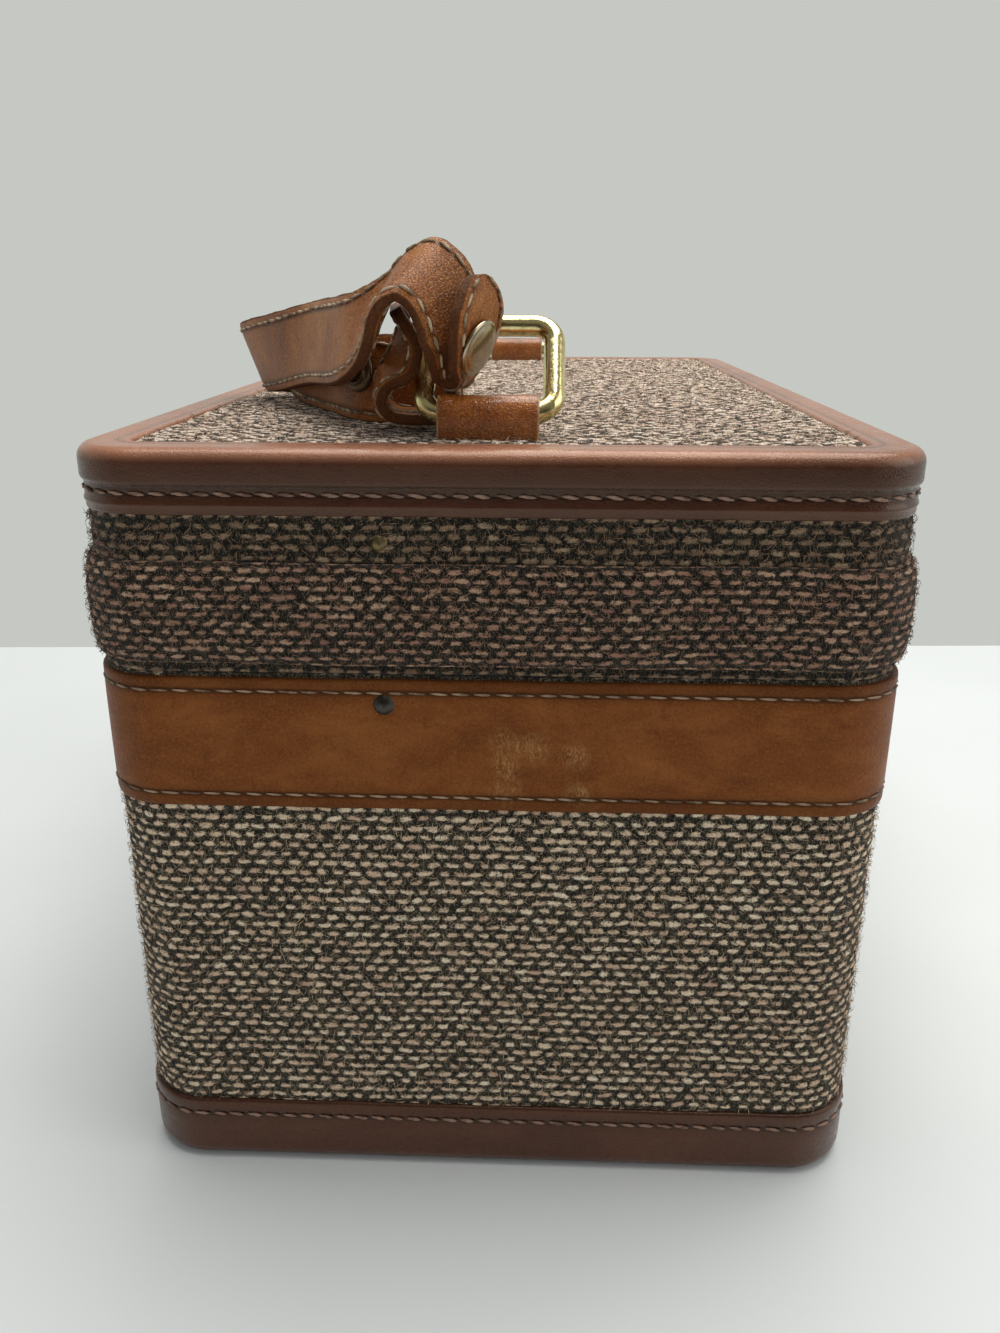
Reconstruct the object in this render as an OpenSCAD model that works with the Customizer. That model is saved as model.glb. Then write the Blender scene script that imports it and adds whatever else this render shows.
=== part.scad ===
// Cosmetic train case: a tweed hard case with leather bands, a hinged lid and a top handle.
// X runs along the case, the latches face -Y and the hinges +Y. Z is up from the floor.

/* [Case] */
// Length over the edge trims
case_l = 372; // [320:1:430]
// Depth from front to back over the edge trims
case_w = 222; // [190:1:260]
// Height of the body's rim above the floor
body_h = 163; // [150:1:200]
// Height of the lid over its rim
lid_h = 59.2; // [52:0.1:80]
// Gap between the two rims when the lid is shut
seam = 0.3; // [0.2:0.1:0.6]
// Plan radius of the case's corners at the trims
corner_r = 20; // [14:0.5:26]

/* [Walls] */
// Thickness of the plywood shell
wall_t = 4; // [3:0.5:6]
// Thickness of the tweed covering
cloth_t = 1.2; // [0.8:0.1:1.8]
// How far the leather stands proud of the tweed
leather_t = 1.5; // [1:0.1:2.2]
// Thickness of the fabric lining
lining_t = 0.8; // [0.5:0.1:1.5]
// Thickness of the metal rims
rim_t = 2; // [1.5:0.5:3]

/* [Trims] */
// Width of the trims' flanges on the top and under the base
flange_w = 14; // [10:0.5:20]
// Thickness of the trims' flanges
flange_t = 1.6; // [1:0.1:2.5]
// Height of the lid's edge trim
lid_trim_h = 17; // [14:0.5:22]
// Rounding of the lid trim's outer edge
lid_edge_r = 4; // [3.5:0.5:5]
// Depth of the step down to the lid trim's stitched hem
hem_step = 0.9; // [0.4:0.1:1.2]
// Height of the base trim
base_trim_h = 22.5; // [18:0.5:30]
// Rounding of the base trim's outer edge
base_edge_r = 5; // [4.5:0.5:6]
// Height of the tan leather band
band_h = 38; // [30:1:50]
// Distance from the band's upper edge to the body's rim
band_drop = 1; // [0.5:0.5:4]

/* [Bumper roll] */
// Height of the padded roll round the lid
roll_h = 27.5; // [20:0.5:34]
// Distance from the lid's rim to the roll
roll_lift = 2.7; // [2.5:0.1:6]
// How far the roll stands out from the tweed
roll_out = 3.3; // [2:0.1:5]

/* [Handle] */
// Distance from each end of the case to its chape
chape_in = 27; // [25:1:40]
// Sideways offset of the handle from the middle of the lid
handle_y = 2.5; // [-5:0.1:5]
// Width of the leather chapes
chape_w = 27; // [22:0.5:27.5]
// Diameter of a chape over the leather
chape_d = 9.6; // [9:0.1:12.4]
// Height of the ring's hinge line above the lid's top
ring_axis_up = 6.2; // [6:0.1:8]
// Wire diameter of the rings
ring_wire = 5.8; // [5:0.1:6.4]
// Width of a ring between the middles of its side bars
ring_w = 35; // [34:0.1:40]
// Height of a ring between the middles of its long bars
ring_h = 28.2; // [27:0.1:32]
// Corner radius of a ring at the middle of its wire
ring_r = 5.5; // [4:0.5:5.5]
// Width of the leather strap
strap_w = 25; // [22:0.5:26]
// Width of the strap where it folds inside the ring
strap_waist = 10; // [9:0.5:14]
// Width of the tongue that goes round the ring's side bar
tongue_w = 19; // [16:0.5:20]
// Thickness of the strap
strap_t = 3.6; // [2.8:0.1:3.8]
// Diameter of the stud cap on the strap
cap_d = 15; // [12:0.5:17]
// Height of the stud cap
cap_h = 2.4; // [1.6:0.1:3]
// Outer diameter of the snap socket
socket_d = 13; // [11:0.5:15]
// Bore of the snap socket
socket_bore = 6.4; // [5:0.1:8]
// Height of the snap socket above the strap's middle line
socket_lift = 2.6; // [0:0.1:4]

/* [Hinges] */
// Distance from each end of the case to the middle of a hinge
hinge_in = 76; // [50:1:100]
// Length of a hinge
hinge_l = 44; // [30:1:60]
// Diameter of the hinge knuckles
knuckle_d = 4.8; // [4.4:0.1:4.9]
// Diameter of the hinge pins
pin_d = 2.4; // [1.8:0.1:2.8]
// Distance from the case's back to the hinge line
hinge_out = 2.5; // [2.5:0.1:4]
// Height of the body's hinge leaves
leaf_h = 21; // [16:1:30]
// Thickness of the hinge leaves
leaf_t = 1.2; // [0.8:0.1:1.4]

/* [Latches] */
// Distance from each end of the case to the middle of a latch
latch_in = 76; // [50:1:100]
// Width of a latch case
latch_w = 44; // [38:1:60]
// Height of a latch case
latch_h = 29.5; // [27:0.5:34]
// Depth of a latch case
latch_t = 3; // [2.5:0.1:4]
// Width of the hasp's plate on the lid
plate_w = 34; // [30:1:40]
// Width of a hasp
hasp_w = 22; // [18:1:24]
// Thickness of a hasp
hasp_t = 2; // [1.6:0.1:2.4]
// Height of the hasp's hinge line above the lid's rim
hasp_up = 14.7; // [12:0.1:18]
// Length of a hasp below its hinge line
hasp_l = 32; // [29:0.5:34]
// Travel of a latch slider
slider_travel = 5; // [3:0.5:5.5]
// Diameter of a key plug
plug_d = 8; // [6:0.5:9]

/* [Stays] */
// Distance from the middle of the case back to the stay rivets
stay_y = 29.3; // [20:0.1:45]
// Depth of the body's stay rivets below the rim
stay_drop = 7.9; // [6:0.1:12]
// Height of the lid's stay rivets above its rim
stay_rise = 35.4; // [32:0.1:40]
// Length of each stay link between its pivots
link_l = 78; // [76:0.5:82]
// Width of a stay link
link_w = 8; // [6:0.5:10]
// Thickness of a stay link
link_t = 1.2; // [0.8:0.1:1.5]
// Diameter of the stay rivets' shanks
rivet_d = 3; // [2.4:0.1:3.6]
// Diameter of the dark rivet heads on the band
body_head_d = 5.8; // [5:0.1:8]
// Diameter of the small rivet heads on the lid
lid_head_d = 4.4; // [4:0.1:6]

/* [Inside] */
// Gap between the tray and the lining
tray_gap = 7.5; // [7:0.5:12]
// Height of the tray
tray_h = 36; // [25:1:45]
// Thickness of the tray's walls
tray_t = 2; // [1.5:0.5:3]
// Height of the tray's underside above the floor
tray_z = 118; // [100:1:122]
// Length of the mirror's frame
mirror_l = 260; // [200:5:270]
// Width of the mirror's frame
mirror_w = 150; // [110:5:170]
// Width of the mirror frame's border
mirror_border = 8; // [5:0.5:14]
// Thickness of the mirror's frame
mirror_t = 5; // [4:0.5:6]

/* [Hidden] */
$fn = 48;
// Small overlap that keeps cuts clean
eps = 0.5;
// Sliding clearance between flat moving faces
slip = 0.3;
// Radial clearance of pins in their bores
run = 0.05;

// Insets of the layers from the outline of the trims
cloth_in = leather_t;
wood_in = leather_t + cloth_t;
room_in = wood_in + wall_t;
lined_in = room_in + lining_t;
lip_gap = 0.7;
lip_t = 1;
lip_h = 3.5;
// Depth of the rim's lip below the rim, and the slot in it for a stay
lip_drop = 8;
stay_slot_d = 8;
stay_slot_w = 12;
stay_slot_h = 20;

// Levels of the body
rim_z = body_h;
wood_top = rim_z - rim_t;
lining_top = rim_z - 13;
base_cloth_z = 12;
band_top = rim_z - band_drop;

// Levels of the lid
lid_z = rim_z + seam;
top_z = lid_z + lid_h;
cloth_top = top_z - flange_t;
wood_roof = cloth_top - cloth_t;
roof_under = wood_roof - wall_t;
lined_roof = roof_under - lining_t;
roll_z = lid_z + roll_lift;

// Hinge line of the lid
hinge_x = case_l / 2 - hinge_in;
hinge_y = case_w / 2 + hinge_out;
hinge_z = rim_z + seam / 2;

// Hinge line of the hasps, latch fronts and key level
latch_x = case_l / 2 - latch_in;
front_y = -case_w / 2;
latch_front = front_y - latch_t;
hasp_back = latch_front - slip;
hasp_axis_y = hasp_back - hasp_t;
hasp_axis_z = lid_z + hasp_up;
barrel_d = 2 * (hasp_t + 0.15);
lug_w = 2.8;
hasp_pin_d = 2;
hasp_tongue_w = 8;
tongue_reach = latch_t - 0.1;
tongue_z = hasp_axis_z - hasp_l + 4;
tongue_h = 4;
latch_top = rim_z - 2.5;
latch_z = latch_top - latch_h;
key_z = latch_z + 7;
key_out = 11;
knob_l = 10;
knob_h = 8;
knob_t = 3;
stem_l = 4;
stem_h = 4;

// Handle
chape_x = case_l / 2 - chape_in;
ring_z = top_z + ring_axis_up;
near_lean = 40;
far_lean = 96;
wire_r = ring_wire / 2;

// Stays
body_pivot_z = rim_z - stay_drop;
lid_pivot_z = lid_z + stay_rise;
pivot_gap = lid_pivot_z - body_pivot_z;
elbow_dy = sqrt(link_l * link_l - pivot_gap * pivot_gap / 4);
elbow_rise = asin(pivot_gap / 2 / link_l);
stay_x = case_l / 2 - lined_in - lip_gap - lip_t - slip;
upper_x = stay_x - link_t - slip;

// Tray
tray_l = case_l - 2 * (lined_in + tray_gap);
tray_w = case_w - 2 * (lined_in + tray_gap);
tray_r = 8;

// Points of an arc, as profile coordinates
function arc(cx, cz, r, a0, a1, n) =
    [for (i = [0:n]) let (a = a0 + (a1 - a0) * i / n) [cx + r * cos(a), cz + r * sin(a)]];

// Rounded rectangle, drawn about the middle
module rounded(l, w, r) {
    square([l - 2 * r, w], center = true);
    square([l, w - 2 * r], center = true);
    for (sx = [-1, 1], sy = [-1, 1])
        translate([sx * (l / 2 - r), sy * (w / 2 - r)]) circle(r);
}

// Slab of the case's plan at an inset from the trims, between two levels
module slab(inset, z0, z1) {
    translate([0, 0, z0])
        linear_extrude(height = z1 - z0)
            rounded(case_l - 2 * inset, case_w - 2 * inset, corner_r - inset);
}

// Upright wall between two insets and two levels
module wall(outer, inner, z0, z1) {
    difference() {
        slab(outer, z0, z1);
        slab(inner, z0 - eps, z1 + eps);
    }
}

// Runs a profile round the case: its x is measured outwards from the trims' outline, its y is the level
module round_the_case() {
    for (side = [0:3]) {
        reach = side % 2 == 0 ? case_l / 2 : case_w / 2;
        run_l = (side % 2 == 0 ? case_w : case_l) - 2 * corner_r;
        rotate([0, 0, 90 * side])
            translate([reach, run_l / 2, 0])
                rotate([90, 0, 0])
                    linear_extrude(height = run_l) children();
    }
    for (c = [[1, 1, 0], [-1, 1, 90], [-1, -1, 180], [1, -1, 270]])
        translate([c[0] * (case_l / 2 - corner_r), c[1] * (case_w / 2 - corner_r), 0])
            rotate([0, 0, c[2]])
                rotate_extrude(angle = 90)
                    translate([corner_r, 0]) children();
}

// Domed rivet head whose flat side faces away from the given X direction
module rivet_head(d, h) {
    r = (d * d / 4 + h * h) / (2 * h);
    intersection() {
        translate([0, 0, h - r]) sphere(r, $fn = 32);
        cylinder(d = d, h = h);
    }
}

// Holes for the stay rivets in both end walls, at one level
module stay_holes(level, d) {
    for (side = [-1, 1])
        translate([side * (case_l / 2 + 2), stay_y, level])
            rotate([0, -90 * side, 0]) cylinder(d = d, h = 18);
}

// Holes for the chape rivets through the lid's top
module chape_holes(d) {
    for (side = [-1, 1], dy = [-1, 1])
        translate([side * chape_x, handle_y + dy * 7, lined_roof - 4]) cylinder(d = d, h = 16);
}

module body_box() {
    color("burlywood")
        difference() {
            slab(wood_in, flange_t, wood_top);
            slab(room_in, flange_t + wall_t, wood_top + eps);
            stay_holes(body_pivot_z, rivet_d + 2 * run);
        }
}

module body_cloth() {
    color("rosybrown")
        difference() {
            wall(cloth_in, wood_in, base_cloth_z, rim_z);
            stay_holes(body_pivot_z, rivet_d + 2 * run);
        }
}

// Tan leather band with softly rounded edges
module belt_band() {
    r = 0.5;
    color("peru")
        difference() {
            round_the_case()
                polygon(concat(
                    [[-leather_t, band_top - band_h]],
                    arc(-r, band_top - band_h + r, r, -90, 0, 4),
                    arc(-r, band_top - r, r, 0, 90, 4),
                    [[-leather_t, band_top]]));
            stay_holes(body_pivot_z, rivet_d + 2 * run);
        }
}

// Bottom trim: a flange under the base, a rounded edge and a wall with a stitch groove
module base_trim() {
    groove_z = base_trim_h - 5.2;
    r = 0.5;
    color("saddlebrown")
        round_the_case()
            polygon(concat(
                [[-flange_w, flange_t], [-flange_w, 0]],
                arc(-base_edge_r, base_edge_r, base_edge_r, -90, 0, 10),
                [[0, groove_z - 0.8], [-0.5, groove_z], [0, groove_z + 0.8]],
                arc(-r, base_trim_h - r, r, 0, 90, 4),
                [[-cloth_in, base_trim_h], [-cloth_in, base_cloth_z],
                 [-wood_in, base_cloth_z], [-wood_in, flange_t]]));
}

module base_panel() {
    color("sienna") slab(flange_w, 0, flange_t);
}

module body_lining() {
    color("tan")
        difference() {
            slab(room_in, flange_t + wall_t, lining_top);
            slab(lined_in, flange_t + wall_t + lining_t, lining_top + eps);
        }
}

// Metal rim: a cap on the wall and a lip that guides the lid
module body_rim() {
    color("silver")
        difference() {
            union() {
                wall(wood_in, lined_in + lip_gap + lip_t, wood_top, rim_z);
                wall(lined_in + lip_gap, lined_in + lip_gap + lip_t, rim_z - lip_drop, rim_z + lip_h);
            }
            for (side = [-1, 1])
                translate([side * (case_l / 2 - lined_in), stay_y, body_pivot_z])
                    cube([stay_slot_d, stay_slot_w, stay_slot_h], center = true);
        }
}

// Two rails that carry the tray at the ends of the body
module tray_ledges() {
    ledge_h = 8;
    ledge_w = lined_in + tray_gap + 6;
    color("tan")
        for (side = [-1, 1])
            translate([side * (case_l / 2 - (lined_in + ledge_w) / 2), 0, tray_z - ledge_h / 2])
                cube([ledge_w - lined_in, tray_w * 0.7, ledge_h], center = true);
}

// One body leaf: a plate on the band, two knuckles and its rivets
module body_leaf(side) {
    knuckle_l = (hinge_l - 0.4) / 3;
    color("goldenrod")
        translate([side * hinge_x, 0, 0])
            difference() {
                union() {
                    translate([-hinge_l / 2, case_w / 2, hinge_z - knuckle_d / 2 - 0.4 - leaf_h])
                        cube([hinge_l, leaf_t, leaf_h]);
                    for (e = [-1, 1]) {
                        translate([e * (hinge_l - knuckle_l) / 2 - knuckle_l / 2, case_w / 2, hinge_z - 4])
                            cube([knuckle_l, leaf_t, 4]);
                        translate([e * (hinge_l - knuckle_l) / 2 - knuckle_l / 2, hinge_y, hinge_z])
                            rotate([0, 90, 0]) cylinder(d = knuckle_d, h = knuckle_l);
                        for (dz = [0.28, 0.75])
                            translate([e * hinge_l * 0.34, case_w / 2 + leaf_t, hinge_z - 4 - leaf_h * dz])
                                rotate([-90, 0, 0]) rivet_head(5, 1.2);
                    }
                }
                translate([-hinge_l / 2 - eps, hinge_y, hinge_z])
                    rotate([0, 90, 0]) cylinder(d = pin_d + 0.04, h = hinge_l + 2 * eps);
            }
}

// One lid leaf: a plate under the roll, a web under the roll's edge and the middle knuckle
module lid_leaf(side) {
    knuckle_l = (hinge_l - 0.4) / 3;
    web_z = lid_z + 0.7;
    inner_y = case_w / 2 - cloth_in;
    color("goldenrod")
        translate([side * hinge_x, 0, 0])
            difference() {
                union() {
                    translate([-hinge_l / 2, inner_y, web_z]) cube([hinge_l, leaf_t, leaf_h]);
                    translate([-knuckle_l / 2 + 0.1, inner_y, web_z])
                        cube([knuckle_l - 0.2, hinge_y - inner_y, leaf_t]);
                    translate([-knuckle_l / 2 + 0.1, hinge_y, hinge_z])
                        rotate([0, 90, 0]) cylinder(d = knuckle_d, h = knuckle_l - 0.2);
                }
                translate([-hinge_l / 2 - eps, hinge_y, hinge_z])
                    rotate([0, 90, 0]) cylinder(d = pin_d + 2 * run, h = hinge_l + 2 * eps);
            }
}

module hinge_pins() {
    color("silver")
        for (side = [-1, 1])
            translate([side * hinge_x - hinge_l / 2 - 0.6, hinge_y, hinge_z])
                rotate([0, 90, 0]) {
                    cylinder(d = pin_d, h = hinge_l + 1.2);
                    cylinder(d = knuckle_d - 0.8, h = 0.6);
                    translate([0, 0, hinge_l + 0.6]) cylinder(d = knuckle_d - 0.8, h = 0.6);
                }
}

// Latch case on the band: a plate with a notch for the tongue, a slider pocket and a key bore
module latch_case(side) {
    r = 3;
    color("darkgoldenrod")
        translate([side * latch_x, 0, 0])
            difference() {
                translate([0, front_y, (latch_z + latch_top) / 2])
                    rotate([90, 0, 0]) linear_extrude(height = latch_t) rounded(latch_w, latch_h, r);
                translate([-hasp_tongue_w / 2 - 0.8, latch_front - eps, tongue_z - 1])
                    cube([hasp_tongue_w + 1.6, latch_t + 2 * eps, latch_top - tongue_z + 2]);
                translate([-side * key_out + min(0, side * slider_travel) - stem_l / 2 - 0.2,
                           latch_front - eps, key_z - stem_h / 2 - 0.2])
                    cube([stem_l + slider_travel + 0.4, latch_t - 0.4 + eps, stem_h + 0.4]);
                translate([side * key_out, front_y + eps, key_z])
                    rotate([90, 0, 0]) cylinder(d = plug_d + 2 * run, h = latch_t + 2 * eps);
            }
}

// Sliding button: a ribbed knob on a short stem
module slider(side) {
    color("gold")
        translate([side * latch_x - side * key_out, 0, key_z]) {
            difference() {
                translate([-knob_l / 2, latch_front - slip / 2 - knob_t, -knob_h / 2])
                    cube([knob_l, knob_t, knob_h]);
                for (i = [-1.5:1:1.5])
                    translate([i * 2.2 - 0.4, latch_front - knob_t - 1, -knob_h / 2 - eps])
                        cube([0.8, 1.4, knob_h + 2 * eps]);
            }
            translate([-stem_l / 2, latch_front - 1, -stem_h / 2])
                cube([stem_l, latch_t - 0.6 + 1 - slip / 2, stem_h]);
        }
}

module key_plug(side) {
    color("gold")
        translate([side * (latch_x + key_out), front_y - 0.1, key_z])
            rotate([90, 0, 0])
                difference() {
                    cylinder(d = plug_d, h = latch_t + 0.6);
                    translate([-0.6, -plug_d / 3, latch_t - 0.8]) cube([1.2, plug_d * 2 / 3, 2]);
                    translate([0, 0, latch_t - 0.8]) cylinder(d = 2.4, h = 2);
                }
}

// Hasp plate on the lid: a shallow dished box in the roll's gap, with lugs and a fixed pin
module hasp_plate(side) {
    box_h = roll_h - 1;
    color("darkgoldenrod")
        translate([side * latch_x, 0, 0]) {
            translate([0, front_y + cloth_in, roll_z + box_h / 2 - 1])
                rotate([90, 0, 0])
                    linear_extrude(height = latch_t + cloth_in) rounded(plate_w, box_h, 3);
            for (e = [-1, 1]) {
                translate([e * (hasp_w / 2 + 0.2 + lug_w / 2) - lug_w / 2, hasp_axis_y, hasp_axis_z])
                    rotate([0, 90, 0]) cylinder(d = barrel_d, h = lug_w);
                translate([e * (hasp_w / 2 + 0.2 + lug_w / 2) - lug_w / 2, hasp_axis_y, hasp_axis_z - 1.5])
                    cube([lug_w, latch_front - hasp_axis_y + eps, 3]);
            }
            translate([-hasp_w / 2 - 1, hasp_axis_y, hasp_axis_z])
                rotate([0, 90, 0]) cylinder(d = hasp_pin_d, h = hasp_w + 2);
        }
}

// Hasp: a barrel on the pin, a plate over the seam, a tongue and a lifting lip
module hasp(side) {
    color("gold")
        translate([side * latch_x, 0, 0])
            difference() {
                union() {
                    translate([-hasp_w / 2, hasp_axis_y, hasp_axis_z])
                        rotate([0, 90, 0]) cylinder(d = barrel_d, h = hasp_w);
                    translate([0, hasp_back, hasp_axis_z - hasp_l / 2])
                        rotate([90, 0, 0])
                            linear_extrude(height = hasp_t) {
                                rounded(hasp_w, hasp_l, 4);
                                translate([-hasp_w / 2, 0]) square([hasp_w, hasp_l / 2]);
                            }
                    translate([-hasp_tongue_w / 2, hasp_back - eps, tongue_z])
                        cube([hasp_tongue_w, tongue_reach + eps, tongue_h]);
                    translate([0, hasp_back - hasp_t, hasp_axis_z - hasp_l + 1.6])
                        rotate([0, 90, 0]) translate([0, 0, -hasp_w / 4]) cylinder(d = 3, h = hasp_w / 2);
                }
                translate([-hasp_w / 2 - eps, hasp_axis_y, hasp_axis_z])
                    rotate([0, 90, 0]) cylinder(d = hasp_pin_d + 2 * run, h = hasp_w + 2 * eps);
            }
}

// Stay rivets of the body: a domed head on the band, a shank through the wall and a collar inside
module body_stay_rivets() {
    color("darkslategray")
        for (side = [-1, 1])
            translate([side * case_l / 2, stay_y, body_pivot_z])
                rotate([0, 90 * side, 0]) {
                    rivet_head(body_head_d, 1.4);
                    translate([0, 0, stay_x - link_t - 0.6 - case_l / 2])
                        cylinder(d = rivet_d, h = case_l / 2 - stay_x + link_t + 0.7);
                    translate([0, 0, stay_x + 0.1 - case_l / 2])
                        cylinder(d = rivet_d + 3, h = case_l / 2 - room_in - stay_x - 0.1);
                }
}

module lid_stay_rivets() {
    color("goldenrod")
        for (side = [-1, 1])
            translate([side * (case_l / 2 - cloth_in), stay_y, lid_pivot_z])
                rotate([0, 90 * side, 0]) {
                    rivet_head(lid_head_d, 1.1);
                    translate([0, 0, upper_x - link_t - 0.6 - case_l / 2 + cloth_in])
                        cylinder(d = rivet_d, h = case_l / 2 - cloth_in - upper_x + link_t + 0.7);
                    translate([0, 0, upper_x + 0.1 - case_l / 2 + cloth_in])
                        cylinder(d = rivet_d + 3, h = case_l / 2 - lined_in - upper_x - 0.1);
                }
}

module lid_box() {
    color("burlywood")
        difference() {
            slab(wood_in, lid_z + rim_t, wood_roof);
            slab(room_in, lid_z + rim_t - eps, roof_under);
            stay_holes(lid_pivot_z, rivet_d + 2 * run);
            chape_holes(rivet_d + 2 * run);
        }
}

module lid_cloth() {
    color("rosybrown")
        difference() {
            wall(cloth_in, wood_in, lid_z, cloth_top);
            stay_holes(lid_pivot_z, rivet_d + 2 * run);
        }
}

module lid_top_cloth() {
    color("rosybrown")
        difference() {
            slab(wood_in, wood_roof, cloth_top);
            chape_holes(rivet_d + 2 * run);
        }
}

// Padded roll round the lid, open at the latches and hollowed over the hinge leaves
module lid_bumper() {
    steps = 16;
    color("rosybrown")
        difference() {
            round_the_case()
                polygon(concat(
                    [[-cloth_in, roll_z]],
                    [for (i = [1:steps - 1]) let (a = -90 + 180 * i / steps)
                        [-cloth_in + roll_out * pow(cos(a), 0.5), roll_z + roll_h / 2 * (1 + sin(a))]],
                    [[-cloth_in, roll_z + roll_h]]));
            for (side = [-1, 1]) {
                translate([side * latch_x - plate_w / 2 - slip, front_y - 5, roll_z - eps])
                    cube([plate_w + 2 * slip, 5 + cloth_in + eps, roll_h + 2 * eps]);
                translate([side * hinge_x - hinge_l / 2 - slip, case_w / 2 - cloth_in - eps, roll_z - eps])
                    cube([hinge_l + 2 * slip, leaf_t + eps + 0.1, lid_z + 0.7 + leaf_h + slip - roll_z + eps]);
            }
        }
}

// Lid edge trim: a flange on the top, a rounded edge and a face that steps in to a stitched hem
module lid_trim() {
    low = top_z - lid_trim_h;
    step_z = low + 8;
    groove_z = low + 5.6;
    ridge_z = low + 2.7;
    color("saddlebrown")
        round_the_case()
            polygon(concat(
                [[-flange_w, cloth_top], [-flange_w, top_z - 0.5], [-flange_w + 0.5, top_z]],
                arc(-lid_edge_r, top_z - lid_edge_r, lid_edge_r, 90, 0, 10),
                [[0, step_z + hem_step / 2], [-hem_step, step_z - hem_step / 2],
                 [-hem_step, groove_z + 0.5], [-hem_step - 0.3, groove_z], [-hem_step, groove_z - 0.5],
                 [-hem_step, ridge_z + 0.5], [-hem_step + 0.4, ridge_z], [-hem_step, ridge_z - 0.5],
                 [-hem_step, low + 0.4], [-hem_step - 0.3, low],
                 [-cloth_in, low], [-cloth_in, cloth_top]]));
}

module lid_rim() {
    color("silver") wall(wood_in, room_in, lid_z, lid_z + rim_t);
}

module lid_lining() {
    color("tan")
        difference() {
            slab(room_in, lid_z + lip_h + 3, roof_under);
            slab(lined_in, lid_z + lip_h + 3 - eps, lined_roof);
            stay_holes(lid_pivot_z, rivet_d + 2 * run);
            chape_holes(rivet_d + 2 * run);
        }
}

module mirror_frame() {
    color("tan")
        difference() {
            translate([0, 0, lined_roof - mirror_t])
                linear_extrude(height = mirror_t) rounded(mirror_l, mirror_w, 6);
            translate([0, 0, lined_roof - mirror_t - eps])
                linear_extrude(height = mirror_t + 2 * eps)
                    rounded(mirror_l - 2 * mirror_border, mirror_w - 2 * mirror_border, 3);
        }
}

module mirror_glass() {
    glass_t = 2;
    color("lightsteelblue")
        translate([0, 0, lined_roof - glass_t - 1])
            linear_extrude(height = glass_t + 1)
                rounded(mirror_l - 2 * mirror_border - 0.2, mirror_w - 2 * mirror_border - 0.2, 2.9);
}

// Leather chape: a loop that stands on the lid's tweed and holds a ring's lower bar
module chape(side) {
    r = chape_d / 2;
    foot = ring_z - cloth_top;
    color("peru")
        translate([side * chape_x, handle_y + chape_w / 2, ring_z])
            rotate([90, 0, 0])
                difference() {
                    linear_extrude(height = chape_w) {
                        circle(r);
                        translate([-r, -foot]) square([chape_d, foot]);
                    }
                    translate([0, 0, -eps]) cylinder(r = wire_r + run, h = chape_w + 2 * eps);
                    translate([0, 0, -0.1]) cylinder(r1 = wire_r + run + 0.5, r2 = wire_r + run, h = 2);
                    translate([0, 0, chape_w - 1.9]) cylinder(r1 = wire_r + run, r2 = wire_r + run + 0.5, h = 2);
                }
}

// Plates and rivets that hold the chapes from inside the lid
module chape_plates() {
    plate_t = 1.2;
    color("silver")
        for (side = [-1, 1]) {
            translate([side * chape_x - 7, handle_y - chape_w / 2, lined_roof - plate_t])
                cube([14, chape_w, plate_t]);
            for (dy = [-1, 1])
                translate([side * chape_x, handle_y + dy * 7, lined_roof - plate_t / 2])
                    cylinder(d = rivet_d, h = cloth_top - lined_roof + plate_t / 2);
        }
}

// Rectangular wire ring in the XY plane: its lower bar lies on Y and the ring reaches to +X
module flat_ring() {
    half = ring_w / 2;
    for (e = [-1, 1]) {
        translate([ring_r, e * half, 0])
            rotate([0, 90, 0]) cylinder(r = wire_r, h = ring_h - 2 * ring_r);
        for (far = [0, 1])
            translate([far ? ring_h - ring_r : ring_r, e * (half - ring_r), 0])
                rotate([0, 0, far ? (e > 0 ? 0 : 270) : (e > 0 ? 90 : 180)])
                    rotate_extrude(angle = 90) translate([ring_r, 0]) circle(wire_r);
    }
    for (x = [0, ring_h])
        translate([x, -half + ring_r, 0])
            rotate([-90, 0, 0]) cylinder(r = wire_r, h = ring_w - 2 * ring_r);
}

// Near ring, leaning back over the lid
module near_ring() {
    color("gold")
        translate([-chape_x, handle_y, ring_z]) rotate([0, near_lean - 90, 0]) flat_ring();
}

// Far ring, lying outwards on the lid's trim
module far_ring() {
    color("gold")
        translate([chape_x, handle_y, ring_z]) rotate([0, far_lean - 90, 0]) flat_ring();
}

// Place of the handle's drape: from the near chape along and across, and above the lid's top
function above_lid(p) = [p[0] - chape_x, p[1] + handle_y, top_z + p[2]];

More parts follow.
